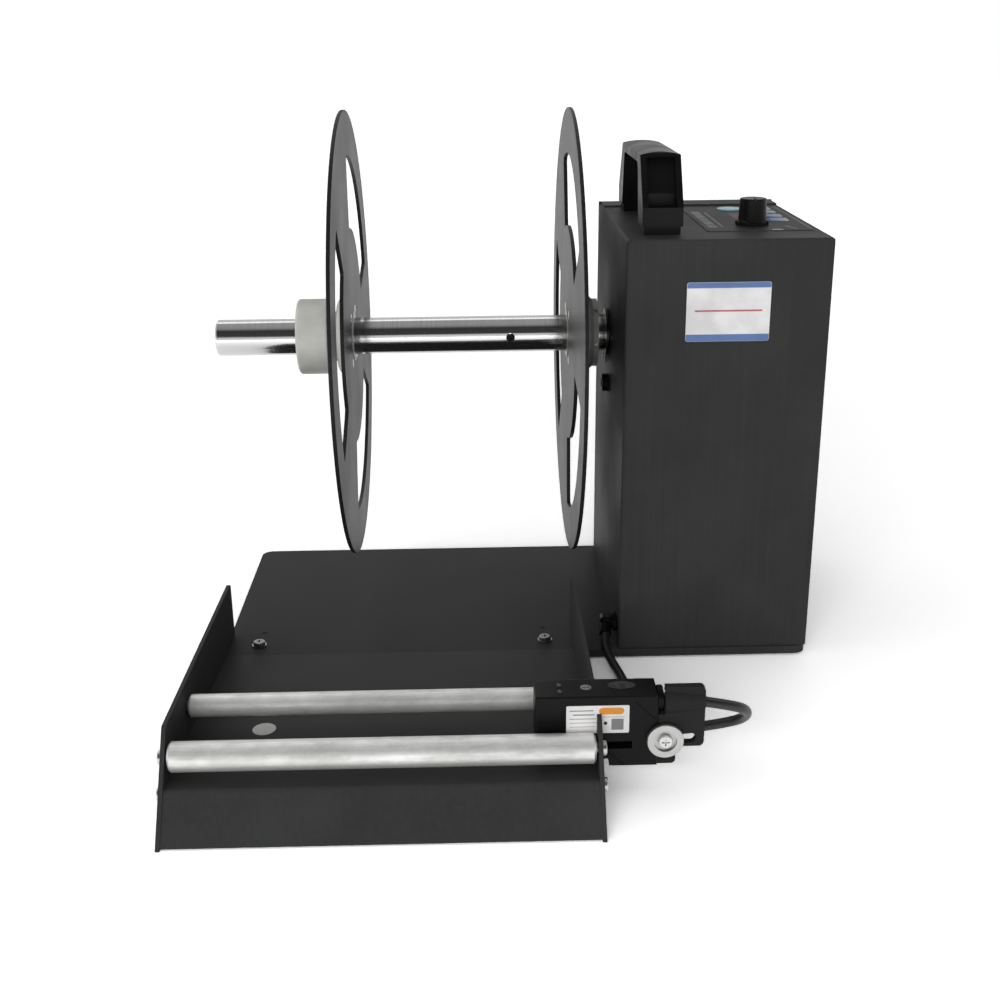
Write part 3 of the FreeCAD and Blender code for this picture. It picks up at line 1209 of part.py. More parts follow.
def spacer(x, y, z0, length, stud_below, stud_above):
    return fuse(rod(M3, (x, y, z0), length, Z_AXIS),
                rod(M3 / 2, (x, y, z0 - stud_below), stud_below + length + stud_above, Z_AXIS))


def board_spacers():
    """Threaded spacers: the control board stands on four, the panel board hangs on four."""
    lower = [spacer(x, y, BASE_TOP, SPACER_L, 4.0, BOARD_T + 1) for x, y in board_posts()]
    low = HZ1 - SHEET - PANEL_BOARD_DROP
    upper = [spacer(x, y, low, PANEL_BOARD_DROP, BOARD_T + 1, 0.0) for x, y in post_places()]
    return Part.makeCompound(lower + upper)


# ---- roller tray ----
def tray_inner():
    return TRAY_X0 + WING_T, TRAY_X1 - WING_T


def tray_profile():
    """Upper face of the folded tray sheet, front to back."""
    return [(BASE_FRONT - TRAY_LIP_FRONT, TRAY_LIP_H),
            (BASE_FRONT - TRAY_FOLD_FRONT, TRAY_FOLD_H),
            (BASE_FRONT - TRAY_SEAT_FRONT, BASE_TOP + TRAY_T),
            (BASE_FRONT + TRAY_SEAT_BACK, BASE_TOP + TRAY_T)]


def tray_slope(y):
    return BASE_TOP + TRAY_T + TRAY_FALL * (BASE_FRONT - TRAY_SEAT_FRONT - y)


def wing_screw_places():
    """Wing screws, front and rear, as (y, z)."""
    front_y = BASE_FRONT - TRAY_FOLD_FRONT + WING_SCREW_BACK
    rear_y = BASE_FRONT - WING_SCREW_FRONT
    return [(y, tray_slope(y) - TRAY_T - NUT_BLOCK[2] / 2) for y in (front_y, rear_y)]


def tray():
    x0, x1 = tray_inner()
    lip, fold, seat, tail = tray_profile()
    lean = (fold[0] - lip[0]) / (fold[1] - lip[1])
    drop = TRAY_T * math.hypot(1, lean)
    low = [(lip[0] + drop, lip[1]), (fold[0] + drop - TRAY_T * lean, fold[1] - TRAY_T),
           (seat[0] - 0.1, seat[1] - TRAY_T), (tail[0], tail[1] - TRAY_T)]
    sheet = prism_x([lip, fold, seat, tail] + low[::-1], x0, x1)
    bends = edges_along(sheet, X_AXIS)
    outside = [e for e in bends if abs(e.BoundBox.ZMin - fold[1]) < 0.01]
    sheet = sheet.makeFillet(TRAY_FOLD_R, outside)
    bends = edges_along(sheet, X_AXIS)
    inside = [e for e in bends
              if abs(e.BoundBox.YMin - low[1][0]) < 0.01 and abs(e.BoundBox.ZMin - low[1][1]) < 0.01]
    sheet = sheet.makeFillet(TRAY_FOLD_R - TRAY_T, inside)
    tools = []
    for x, y in tray_screw_places():
        tools.append(rod(M4 / 2 + FIT_GAP, (x, y, BASE_TOP - 1), TRAY_T + 2, Z_AXIS))
    blocks = []
    for y, z in wing_screw_places():
        half_d = NUT_BLOCK[1] / 2
        top = tray_slope(y) - TRAY_T
        foot = top - NUT_BLOCK[2]
        side_view = [(y - half_d, foot), (y - half_d, tray_slope(y - half_d) - 1),
                     (y + half_d, tray_slope(y + half_d) - 1), (y + half_d, foot)]
        for start, side in ((x0, 1), (x1, -1)):
            bx0, bx1 = sorted((start, start + side * NUT_BLOCK[0]))
            blocks.append(prism_x(side_view, bx0, bx1))
            tools.append(rod(M4 / 2, (start - 1 if side > 0 else start - 8, y, z), 9, X_AXIS))
    return cut(fuse(sheet, *blocks), *tools)


def wing_outline():
    foot_back = BASE_FRONT - BASE_CLEAR
    tail = BASE_FRONT + WING_TAIL_BACK
    return [(BASE_FRONT - WING_FRONT, 0.0), (BASE_FRONT - WING_CREST_FRONT, WING_CREST_H),
            (tail, WING_TAIL_H), (tail, BASE_TOP), (foot_back, BASE_TOP), (foot_back, 0.0)]


def roller_axes():
    return [(BASE_FRONT - front, high) for front, high, dia in (FRONT_ROLLER, REAR_ROLLER)]


def wing(x0):
    body = prism_x(wing_outline(), x0, x0 + WING_T)
    crest = [e for e in edges_along(body, X_AXIS) if e.BoundBox.ZMin > WING_TAIL_H - 1]
    body = body.makeFillet(WING_CORNER_R, crest)
    tools = [rod(M4 / 2, (x0 - 1, y, z), WING_T + 2, X_AXIS)
             for y, z in roller_axes() + wing_screw_places()]
    return cut(body, *tools)


def left_wing():
    return wing(TRAY_X0)


def right_wing():
    x0 = TRAY_X1 - WING_T
    notch = box(x0 - 1, TRAY_X1 + 1, SY0 - NOTCH_GAP, SY1 + NOTCH_GAP,
                SENSOR_ARM_BOTTOM - 1.0, WING_CREST_H + 1)
    holes = [rod(M4 / 2, (x0 - 1, y, z), WING_T + 2, X_AXIS) for y, z in arm_screw_places()]
    return cut(wing(x0), notch, *holes)


def roller(spec):
    """Tube with a plain bush pressed into each end."""
    front, high, dia = spec
    x0, x1 = tray_inner()
    at = (x0 + ROLLER_END_GAP, BASE_FRONT - front, high)
    length = x1 - x0 - 2 * ROLLER_END_GAP
    tube = rod(dia / 2, at, length, X_AXIS)
    tube = tube.makeChamfer(ROLLER_CHAMFER, [e for e in tube.Edges if e.BoundBox.XLength < 0.1])
    tube = cut(tube, rod(dia / 2 - ROLLER_WALL, (at[0] - 1, at[1], at[2]), length + 2, X_AXIS))
    bore = AXLE_D / 2 + RUN_GAP
    bushes = [ring(dia / 2 - ROLLER_WALL, bore, (x, at[1], high), BUSH_L, X_AXIS)
              for x in (at[0], at[0] + length - BUSH_L)]
    return Part.makeCompound([tube] + bushes)


def roller_axles():
    x0, x1 = tray_inner()
    axles = []
    for y, z in roller_axes():
        taps = [rod(M4 / 2, (x, y, z), AXLE_TAP + 1, X_AXIS) for x in (x0 - 1, x1 - AXLE_TAP)]
        axles.append(cut(rod(AXLE_D / 2, (x0, y, z), x1 - x0, X_AXIS), *taps))
    return Part.makeCompound(axles)


def wing_screws():
    """Screws through the wings: into the roller axles, the tray's nut blocks and the sensor's arm."""
    screws = []
    for places, length in ((roller_axes(), AXLE_TAP - 1), (wing_screw_places(), NUT_BLOCK[0] - 3)):
        for y, z in places:
            screws.append(pan_screw(M4, WING_T + length, (TRAY_X0, y, z), X_AXIS))
            screws.append(pan_screw(M4, WING_T + length, (TRAY_X1, y, z), V(-1, 0, 0)))
    for y, z in arm_screw_places():
        screws.append(pan_screw(M4, ARM_T + WING_T, (TRAY_X1 + ARM_T, y, z), V(-1, 0, 0)))
    return Part.makeCompound(screws)


def tray_screws():
    """Two screws with washers that hold the tray on the base plate."""
    pieces = []
    for x, y in tray_screw_places():
        seat = BASE_TOP + TRAY_T
        pieces.append(ring(M4 + 0.9, M4 / 2 + FIT_GAP, (x, y, seat), WASHER_T, Z_AXIS))
        pieces.append(pan_screw(M4, WASHER_T + TRAY_T + BASE_T - 0.5, (x, y, seat + WASHER_T), V(0, 0, -1)))
    return Part.makeCompound(pieces)


# ---- label sensor ----
def sensor_body():
    outer = box(SX0, SX1, SY0, SY1, SENSOR_BOTTOM, SENSOR_TOP)
    edges = [e for e in outer.Edges if e.BoundBox.ZMin > SENSOR_TOP - 0.1 or e.BoundBox.YMax < SY0 + 0.1]
    outer = outer.makeFillet(SENSOR_EDGE_R, edges)
    step_x = TRAY_X1 + SENSOR_STEP_GAP
    tools = [box(SX0 - 1, SX0 + THROAT_L, SY0 - 1, SY1 + 1, THROAT_LOW, THROAT_HIGH),
             box(SX0 - 1, step_x, SY0 - 1, SY1 + 1, SENSOR_BOTTOM - 1, SENSOR_ARM_BOTTOM),
             rod(GLAND_D / 2 - 2, (SX1 - 6, SY0 + GLAND_SETBACK, GLAND_H), 8, X_AXIS),
             sink(M3, sensor_top_places()["screw"] + (SENSOR_TOP,), V(0, 0, -1)),
             rod(M3 / 2, sensor_top_places()["screw"] + (SENSOR_TOP - 8,), 8, Z_AXIS)]
    window_x, window_y = sensor_top_places()["window"]
    tools.append(oval(window_x, window_y, SENSOR_WINDOW[0], SENSOR_WINDOW[1],
                      SENSOR_TOP - 0.6, SENSOR_TOP + 1))
    for x, y in sensor_top_places()["leds"]:
        tools.append(rod(LED_R, (x, y, SENSOR_TOP - 1.5), 3, Z_AXIS))
    return cut(outer, *tools)


def sensor_screw():
    return flat_screw(M3, 8.0, sensor_top_places()["screw"] + (SENSOR_TOP,), V(0, 0, -1))


def sensor_top_places():
    return {"window": (SX0 + 47.5, SY0 + 12.5),
            "screw": (SX0 + 28.0, SY0 + 11.0),
            "leds": [(SX0 + 13.5, SY0 + 6.0), (SX0 + 13.5, SY0 + 13.0)]}


def sensor_window():
    """Oval indicator window and two small lamps on the sensor's top."""
    x, y = sensor_top_places()["window"]
    pieces = [oval(x, y, SENSOR_WINDOW[0], SENSOR_WINDOW[1], SENSOR_TOP - 0.6, SENSOR_TOP + 0.4)]
    for x, y in sensor_top_places()["leds"]:
        pieces.append(fuse(rod(LED_R, (x, y, SENSOR_TOP - 1.5), 1.7, Z_AXIS),
                           Part.makeSphere(LED_R, V(x, y, SENSOR_TOP + 0.2))))
    return Part.makeCompound(pieces)


def sensor_label():
    wide, high, thick = SENSOR_LABEL
    x0 = SX0 + 16.7
    z0 = THROAT_HIGH + 5.5
    return rounded_box(x0, x0 + wide, SY0 - thick, SY0, z0, z0 + high, 0.8, Y_AXIS)


def sensor_ear():
    """Slotted ear on the sensor's right side, with a raised cable cover."""
    step_x = SX1 + EAR_STEP_X
    right = SX1 + EAR_L
    low = box(SX1, right, EAR_Y0, EAR_Y1, EAR_LOW, EAR_STEP_H + 1)
    high = box(step_x, right, EAR_Y0, EAR_Y1, EAR_STEP_H, EAR_HIGH)
    plate = fuse(low, high)
    corners = [e for e in edges_along(plate, Y_AXIS) if e.BoundBox.XMin > right - 0.1]
    plate = plate.makeFillet(EAR_CORNER_R, corners)
    skin = EAR_Y0 + EAR_SKIN
    cable_room = box(step_x - 1, right + 1, skin, EAR_Y1 + 1, EAR_STEP_H + 1, EAR_HIGH - EAR_HOOD_H)
    flange = box(SX1, SX1 + 2, EAR_Y0 + 1, SY1 - 2, ARM_HIGH + 1, EAR_STEP_H + 1)
    cover = Part.makeCone(*EAR_COVER_R, right - step_x, V(step_x, skin + 1.0, GLAND_H), X_AXIS)
    cover = cover.common(box(step_x, right, EAR_Y0 - EAR_COVER_R[0], EAR_Y0 + 0.5, EAR_LOW, EAR_HIGH))
    ear = fuse(cut(plate, cable_room), flange, cover)
    slot = slot_z(SX1 + 1.2, right - EAR_SLOT_END, EAR_Y0 - 1, EAR_Y1 + 1,
                  CLAMP_AT[1] - EAR_SLOT_DROP, EAR_SLOT_W)
    return cut(ear, slot)


def gland_nut():
    """Ribbed nut where the cable leaves the sensor."""
    at = (SX1, SY0 + GLAND_SETBACK, GLAND_H)
    nut = rod(GLAND_D / 2 - 2, (SX1 - 5, at[1], at[2]), 5, X_AXIS)
    length = EAR_STEP_X - 0.6
    ribs = []
    for index in range(3):
        x = SX1 + index * length / 3
        ribs.append(rod(GLAND_D / 2, (x, at[1], at[2]), length / 3 - 0.5, X_AXIS))
    core = rod(GLAND_D / 2 - 0.7, at, length, X_AXIS)
    nut = fuse(nut, core, *ribs)
    bore = rod(CABLE_D / 2 + CABLE_GAP, (SX1 - 6, at[1], at[2]), length + 8, X_AXIS)
    wall = box(SX1 - 8, SX1 + 8, at[1] - GLAND_D, EAR_Y0 - 0.05, GLAND_H - GLAND_D, GLAND_H + GLAND_D)
    return cut(nut, bore, wall)


def arm_screw_places():
    y = SY1 + ARM_AIR + ARM_T + ARM_FOOT_D / 2
    return [(y, ARM_LOW + ARM_SCREW_IN), (y, ARM_HIGH - ARM_SCREW_IN)]


def sensor_arm():
    """Folded arm on the right wing; its front tab carries the clamp."""
    y_bar = SY1 + ARM_AIR
    right = SX1 + ARM_OUT
    tab_y = EAR_Y1 + 0.1
    foot = box(TRAY_X1, TRAY_X1 + ARM_T, y_bar, y_bar + ARM_T + ARM_FOOT_D, ARM_LOW, ARM_HIGH)
    bar = box(TRAY_X1, right, y_bar, y_bar + ARM_T, ARM_LOW, ARM_HIGH)
    leg = box(right - ARM_T, right, tab_y, y_bar + ARM_T, ARM_LOW, ARM_HIGH)
    tab = box(SX1 + 0.5, right, tab_y, tab_y + ARM_T, TAB_LOW, ARM_HIGH)
    corner = [e for e in edges_along(tab, Y_AXIS)
              if e.BoundBox.XMin > right - 0.1 and e.BoundBox.ZMax < TAB_LOW + 1]
    tab = tab.makeFillet(2.5, corner)
    arm = fuse(foot, bar, leg, tab)
    tools = [rod(M4 / 2 + RUN_GAP, (CLAMP_AT[0], tab_y - 1, CLAMP_AT[1]), ARM_T + 2, Y_AXIS)]
    tools += [rod(M4 / 2, (TRAY_X1 - 1, y, z), ARM_T + 2, X_AXIS) for y, z in arm_screw_places()]
    return cut(arm, *tools)


def clamp_wheel():
    """Round clamp knob with a dished centre."""
    x, z = CLAMP_AT
    back = SY0 - CLAMP_AIR
    wheel = rod(CLAMP_D / 2, (x, back - CLAMP_T, z), CLAMP_T, Y_AXIS)
    wheel = wheel.makeFillet(0.6, [e for e in wheel.Edges if e.BoundBox.YLength < 0.1])
    boss = rod(CLAMP_BOSS_D / 2 - 0.1, (x, back - 0.1, z), EAR_Y0 - back + 0.05, Y_AXIS)
    dish = rod(CLAMP_DISH_D / 2, (x, back - CLAMP_T - 1, z), 1 + CLAMP_DISH_DEEP, Y_AXIS)
    return cut(fuse(wheel, boss), dish, rod(M4 / 2, (x, back - 5, z), 20, Y_AXIS))


def clamp_screw():
    x, z = CLAMP_AT
    seat = SY0 - CLAMP_AIR - CLAMP_T + CLAMP_DISH_DEEP
    return pan_screw(M4, EAR_Y1 + 0.1 + ARM_T + 1 - seat, (x, seat, z), Y_AXIS)


# ---- cable ----
def tangent_route(points):
    """Straight runs joined by tangent arcs; returns the wire and the bend radii."""
    nodes = [V(*p) for p in points]
    edges = []
    radii = []
    last = nodes[0]
    for before, corner, after in zip(nodes, nodes[1:], nodes[2:]):
        back = (before - corner).normalize()
        ahead = (after - corner).normalize()
        half_turn = (math.pi - back.getAngle(ahead)) / 2
        reach = 0.45 * min(before.distanceToPoint(corner), after.distanceToPoint(corner))
        radius = reach / math.tan(half_turn)
        start = corner + back * reach
        stop = corner + ahead * reach
        inward = (back + ahead).normalize()
        middle = corner + inward * (radius / math.cos(half_turn) - radius)
        edges.append(Part.LineSegment(last, start).toShape())
        edges.append(Part.Arc(start, middle, stop).toShape())
        radii.append(radius)
        last = stop
    edges.append(Part.LineSegment(last, nodes[-1]).toShape())
    return Part.Wire(edges), radii


def sensor_cable():
    path, radii = tangent_route(CABLE_ROUTE)
    first = V(*CABLE_ROUTE[1]) - V(*CABLE_ROUTE[0])
    circle = Part.Circle(V(*CABLE_ROUTE[0]), first, CABLE_D / 2)
    profile = Part.Wire(circle.toShape())
    tube = path.makePipeShell([profile], True, False)
    print("cable length %.1f mm" % path.Length)
    print("cable bend radii", ["%.1f" % r for r in radii])
    print("cable volume / section x length %.4f"
          % (tube.Volume / (math.pi * CABLE_D ** 2 / 4 * path.Length)))
    return tube


PIECES = {
    "base_plate": base_plate,
    "anti_slip_mat": anti_slip_mat,
    "base_screws": base_screws,
    "housing_shell": housing_shell,
    "rear_cover": rear_cover,
    "housing_screws": housing_screws,
    "name_plate": name_plate,
    "bearing_blocks": bearing_blocks,
    "bearings": bearings,
    "drive_screws": drive_screws,
    "inner_wall": inner_wall,
    "gear_motor": gear_motor,
    "motor_shaft": motor_shaft,
    "motor_pulley": motor_pulley,
    "drive_pulley": drive_pulley,
    "drive_belt": drive_belt,
    "winding_shaft": winding_shaft,
    "shaft_clip": shaft_clip,
    "outer_disc": lambda: flange_disc(OUTER_DISC_X, OUTER_DISC_TURN, 1),
    "outer_hub": outer_hub,
    "outer_hub_screws": outer_hub_screws,
    "inner_disc": lambda: flange_disc(INNER_DISC_X, INNER_DISC_TURN, -1),
    "inner_hub": inner_hub,
    "inner_hub_screws": inner_hub_screws,
    "control_panel": control_panel,
    "display_window": display_window,
    "key_first": lambda: key_cap(KEY_YS[0]),
    "key_second": lambda: key_cap(KEY_YS[1]),
    "key_third": lambda: key_cap(KEY_YS[2]),
    "key_fourth": lambda: key_cap(KEY_YS[3]),
    "round_key": round_key,
    "panel_board": panel_board,
    "board_spacers": board_spacers,
    "speed_knob": speed_knob,
    "potentiometer": potentiometer,
    "carry_handle": carry_handle,
    "signal_socket": signal_socket,
    "cable_plug": cable_plug,
    "power_inlet": power_inlet,
    "rocker_frame": rocker_frame,
    "power_rocker": power_rocker,
    "control_board": control_board,
    "tray": tray,
    "left_wing": left_wing,
    "right_wing": right_wing,
    "front_roller": lambda: roller(FRONT_ROLLER),
    "rear_roller": lambda: roller(REAR_ROLLER),
    "roller_axles": roller_axles,
    "wing_screws": wing_screws,
    "tray_screws": tray_screws,
    "sensor_body": sensor_body,
    "sensor_window": sensor_window,
    "sensor_label": sensor_label,
    "sensor_screw": sensor_screw,
    "sensor_ear": sensor_ear,
    "gland_nut": gland_nut,
    "sensor_arm": sensor_arm,
    "clamp_wheel": clamp_wheel,
    "clamp_screw": clamp_screw,
    "sensor_cable": sensor_cable,
}

for piece_name, make in PIECES.items():
    save(piece_name, make())
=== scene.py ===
import json
import math
import bpy
import bmesh
from mathutils import Matrix, Vector


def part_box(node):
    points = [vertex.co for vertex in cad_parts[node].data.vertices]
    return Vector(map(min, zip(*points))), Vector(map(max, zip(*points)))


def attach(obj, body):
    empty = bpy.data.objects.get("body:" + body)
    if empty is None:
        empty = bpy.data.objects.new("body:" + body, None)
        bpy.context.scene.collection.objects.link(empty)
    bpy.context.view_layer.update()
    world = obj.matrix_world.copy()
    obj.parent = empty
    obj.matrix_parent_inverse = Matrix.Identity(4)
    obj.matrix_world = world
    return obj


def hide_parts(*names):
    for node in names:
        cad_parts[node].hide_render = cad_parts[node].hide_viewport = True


# Bench label rewinder, dressed round its CAD model. Metres; X to the right, Y away from the operator, Z up.
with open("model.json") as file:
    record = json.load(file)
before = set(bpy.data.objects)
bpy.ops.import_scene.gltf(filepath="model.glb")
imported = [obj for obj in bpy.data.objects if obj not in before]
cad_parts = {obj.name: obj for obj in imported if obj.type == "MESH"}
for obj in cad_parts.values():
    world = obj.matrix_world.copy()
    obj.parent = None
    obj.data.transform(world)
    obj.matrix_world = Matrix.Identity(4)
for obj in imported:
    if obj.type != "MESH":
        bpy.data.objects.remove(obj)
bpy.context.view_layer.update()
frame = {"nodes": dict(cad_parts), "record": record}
NODES = frame["nodes"]
MM = 0.001

# ---- camera ----
CAMERA_AT = (-0.02458, -0.88148, 0.39823)
CAMERA_LENS = 47.106
CAMERA_SENSOR = 36.0
CAMERA_YAW = -1.103
CAMERA_PITCH = 19.80
CAMERA_ROLL = -0.626

# ---- floor: its plain grey, and its white as the camera and the metal see it ----
FLOOR_HALF = 8.0
FLOOR_PLAIN = 0.38
FLOOR_NEAR = 2.08
FLOOR_FAR = 2.9
FLOOR_NEAR_AT = 0.4
FLOOR_FAR_AT = 2.2

# ---- soft light from the sky, and the studio that the metal mirrors ----
SKY_LOW = 1.5
SKY_HIGH = 0.26
SKY_RIGHT_SHARE = 0.60
STUDIO_STRENGTH = 1.8

# ---- colour sockets of a Mix node ----
MIX_A = 6
MIX_B = 7
MIX_OUT = 2

# ---- cross hole through the winding shaft ----
CROSS_HOLE_X = 0.0008
CROSS_HOLE_HALF = 0.0112
CROSS_HOLE_R = 0.00298
# A thin dark sleeve inside the hole, painted shade.
SHADE_FILM_R = 0.0028
SHADE_FILM_SIDES = 32

# ---- sensor cable, from the gland on the sensor to the plug on the housing ----
CABLE_DIAMETER = 0.0058
CABLE_ROUTE = (
    (0.0665, -0.2520, 0.0562),
    (0.0805, -0.2520, 0.0562),
    (0.0950, -0.2523, 0.0537),
    (0.1153, -0.2514, 0.0495),
    (0.1236, -0.2438, 0.0423),
    (0.1236, -0.2346, 0.0327),
    (0.1152, -0.2274, 0.0258),
    (0.0960, -0.2265, 0.0224),
    (0.0770, -0.2170, 0.0140),
    (0.0665, -0.1990, 0.0065),
    (0.0645, -0.1760, 0.00295),
    (0.0694, -0.1500, 0.00295),
    (0.0676, -0.1260, 0.00295),
    (0.0616, -0.1070, 0.0070),
    (0.0590, -0.0959, 0.0115),
    (0.0602, -0.0879, 0.0155),
)


# ---- materials ----
def new_material(name, color, roughness=0.5, metallic=0.0, **sockets):
    """A Principled material with plain socket values; sockets are named in snake case."""
    material = bpy.data.materials.new(name)
    material.use_nodes = True
    shader = material.node_tree.nodes["Principled BSDF"]
    shader.inputs["Base Color"].default_value = (*color, 1.0)
    shader.inputs["Roughness"].default_value = roughness
    shader.inputs["Metallic"].default_value = metallic
    for key, value in sockets.items():
        shader.inputs[key.replace("_", " ").title().replace("Ior", "IOR")].default_value = value
    return material


def node(material, kind, **values):
    made = material.node_tree.nodes.new(kind)
    for key, value in values.items():
        if hasattr(made, key):
            setattr(made, key, value)
        else:
            made.inputs[key.replace("_", " ").title()].default_value = value
    return made


def link(material, source, socket_out, target, socket_in):
    material.node_tree.links.new(source.outputs[socket_out], target.inputs[socket_in])


def place(material, scale=(1.0, 1.0, 1.0)):
    """Object coordinates, in metres, stretched by scale."""
    coords = node(material, "ShaderNodeTexCoord")
    mapping = node(material, "ShaderNodeMapping")
    mapping.inputs["Scale"].default_value = scale
    link(material, coords, "Object", mapping, "Vector")
    return mapping


def noise(material, scale, detail=3.0, stretch=(1.0, 1.0, 1.0), roughness=0.5):
    made = node(material, "ShaderNodeTexNoise", scale=scale, detail=detail, roughness=roughness)
    link(material, place(material, stretch), "Vector", made, "Vector")
    return made


def ramp(material, source, low, high, start=0.35, end=0.65, socket="Fac"):
    """Maps a grey texture onto the range low to high."""
    made = node(material, "ShaderNodeMapRange")
    made.inputs["From Min"].default_value = start
    made.inputs["From Max"].default_value = end
    made.inputs["To Min"].default_value = low
    made.inputs["To Max"].default_value = high
    link(material, source, socket, made, "Value")
    return made


def tint(material, source, dark, light, start=0.35, end=0.65, socket="Fac"):
    """Colours a grey texture from dark to light."""
    made = node(material, "ShaderNodeValToRGB")
    made.color_ramp.elements[0].position = start
    made.color_ramp.elements[0].color = (*dark, 1.0)
    made.color_ramp.elements[1].position = end
    made.color_ramp.elements[1].color = (*light, 1.0)
    link(material, source, socket, made, "Fac")
    return made


def shader_of(material):
    return material.node_tree.nodes["Principled BSDF"]


def add_bump(material, height, height_socket, strength, distance):
    bump = node(material, "ShaderNodeBump")
    bump.inputs["Strength"].default_value = strength
    bump.inputs["Distance"].default_value = distance
    link(material, height, height_socket, bump, "Height")
    link(material, bump, "Normal", shader_of(material), "Normal")
    return bump


def scaled(color, factor):
    return tuple(factor * c for c in color)


def powder_coat(name, color, roughness, grain=0.00012, specular=0.5):
    """Baked paint on sheet steel: a fine orange peel, upright rolling lines and a faint cloudiness."""
    material = new_material(name, color, roughness, specular_ior_level=specular)
    cloud = noise(material, 26.0, 4.0)
    lines = noise(material, 1.0, 3.0, (420.0, 420.0, 9.0))
    both = node(material, "ShaderNodeMath", operation="MULTIPLY_ADD")
    both.inputs[1].default_value = 0.5
    link(material, lines, "Fac", both, 0)
    link(material, cloud, "Fac", both, 2)
    shade = tint(material, both, scaled(color, 0.90), scaled(color, 1.12), 0.55, 0.95, "Value")
    link(material, shade, "Color", shader_of(material), "Base Color")
    link(material, ramp(material, both, roughness - 0.04, roughness + 0.05, 0.55, 0.95, "Value"), "Result",
         shader_of(material), "Roughness")
    peel = noise(material, 900.0, 2.0)
    add_bump(material, peel, "Fac", 0.35, grain)
    return material


def moulded_plastic(name, color, roughness, grain=0.0001, grain_scale=1600.0, specular=0.5):
    material = new_material(name, color, roughness, specular_ior_level=specular)
    soft = noise(material, 60.0, 3.0)
    link(material, ramp(material, soft, roughness - 0.05, roughness + 0.06), "Result",
         shader_of(material), "Roughness")
    link(material, tint(material, soft, scaled(color, 0.9), scaled(color, 1.1)),
         "Color", shader_of(material), "Base Color")
    add_bump(material, noise(material, grain_scale, 2.0), "Fac", 0.3, grain)
    return material


def turned_metal(name, color, roughness, axis="X", line_scale=2500.0, strength=0.12, metallic=1.0):
    """Metal with fine lathe lines round the given axis."""
    material = new_material(name, color, roughness, metallic)
    stretch = {"X": (line_scale, 30.0, 30.0), "Y": (30.0, line_scale, 30.0), "Z": (30.0, 30.0, line_scale)}
    lines = noise(material, 1.0, 2.0, stretch[axis])
    link(material, ramp(material, lines, roughness * 0.8, roughness * 1.3), "Result",
         shader_of(material), "Roughness")
    link(material, tint(material, lines, scaled(color, 0.9), scaled(color, 1.08)), "Color",
         shader_of(material), "Base Color")
    add_bump(material, lines, "Fac", strength, 0.00002)
    return material


def worn_aluminium(name):
    """Drawn tube: long faint streaks, cloudy patches and small scuffs."""
    material = new_material(name, (0.70, 0.70, 0.68), 0.45, 0.6)
    shader = shader_of(material)
    cloud = noise(material, 70.0, 6.0, (0.6, 1.0, 1.0), 0.65)
    streak = noise(material, 1.0, 3.0, (60.0, 900.0, 900.0))
    mixed = node(material, "ShaderNodeMath", operation="MULTIPLY_ADD")
    mixed.inputs[1].default_value = 0.35
    link(material, streak, "Fac", mixed, 0)
    link(material, cloud, "Fac", mixed, 2)
    color = tint(material, mixed, (0.62, 0.62, 0.60), (0.84, 0.84, 0.82), 0.52, 0.84, "Value")
    link(material, color, "Color", shader, "Base Color")
    link(material, ramp(material, mixed, 0.55, 0.38, 0.5, 0.9, "Value"), "Result", shader, "Roughness")
    add_bump(material, streak, "Fac", 0.3, 0.00005)
    return material


def nylon(name, color):
    material = new_material(name, color, 0.42, subsurface_weight=0.12)
    shader_of(material).inputs["Subsurface Radius"].default_value = (0.004, 0.004, 0.0035)
    soft = noise(material, 90.0, 4.0)
    link(material, tint(material, soft, scaled(color, 0.94), scaled(color, 1.06)), "Color",
         shader_of(material), "Base Color")
    add_bump(material, noise(material, 1.0, 2.0, (1800.0, 60.0, 60.0)), "Fac", 0.15, 0.00003)
    return material


def key_film(name):
    """Printed film over the keys: pale blue on the left, nearly white on the right."""
    material = new_material(name, (0.4, 0.46, 0.55), 0.45, specular_ior_level=0.15)
    coords = node(material, "ShaderNodeTexCoord")
    split = node(material, "ShaderNodeSeparateXYZ")
    link(material, coords, "Object", split, "Vector")
    across = ramp(material, split, 0.0, 1.0, 0.1706, 0.1826, "X")
    colors = tint(material, across, (0.13, 0.22, 0.38), (0.42, 0.42, 0.47), 0.0, 1.0, "Result")
    link(material, colors, "Color", shader_of(material), "Base Color")
    add_bump(material, noise(material, 2200.0, 2.0), "Fac", 0.2, 0.00004)
    return material


def disc_paint(name, color, edge_shade_color):
    """Satin paint on the discs' faces, with painted shade on their rims: faces that turn away from X get a
    darker base colour.
    """
    material = powder_coat(name, color, 0.46, 0.00006, 0.12)
    shader = shader_of(material)
    face_color = shader.inputs["Base Color"].links[0].from_socket
    coords = node(material, "ShaderNodeTexCoord")
    split = node(material, "ShaderNodeSeparateXYZ")
    link(material, coords, "Normal", split, "Vector")
    flat = node(material, "ShaderNodeMath", operation="ABSOLUTE")
    link(material, split, "X", flat, 0)
    blend = node(material, "ShaderNodeMix", data_type="RGBA")
    # Painted shade: the dark colour where the normal turns away from X, on the rims.
    blend.inputs[MIX_A].default_value = (*edge_shade_color, 1.0)
    link(material, ramp(material, flat, 0.0, 1.0, 0.6, 0.9, "Value"), "Result", blend, 0)
    material.node_tree.links.new(face_color, blend.inputs[MIX_B])
    material.node_tree.links.new(blend.outputs[MIX_OUT], shader.inputs["Base Color"])
    return material


def glazed(name, color, roughness, coat):
    """Clear plastic over a coloured back, with faint wipe marks."""
    material = new_material(name, color, roughness, coat_weight=coat)
    marks = noise(material, 300.0, 4.0, (1.0, 0.3, 1.0))
    link(material, ramp(material, marks, roughness * 0.8, roughness * 1.6), "Result",
         shader_of(material), "Roughness")
    link(material, tint(material, marks, scaled(color, 0.85), scaled(color, 1.15)), "Color",
         shader_of(material), "Base Color")
    return material


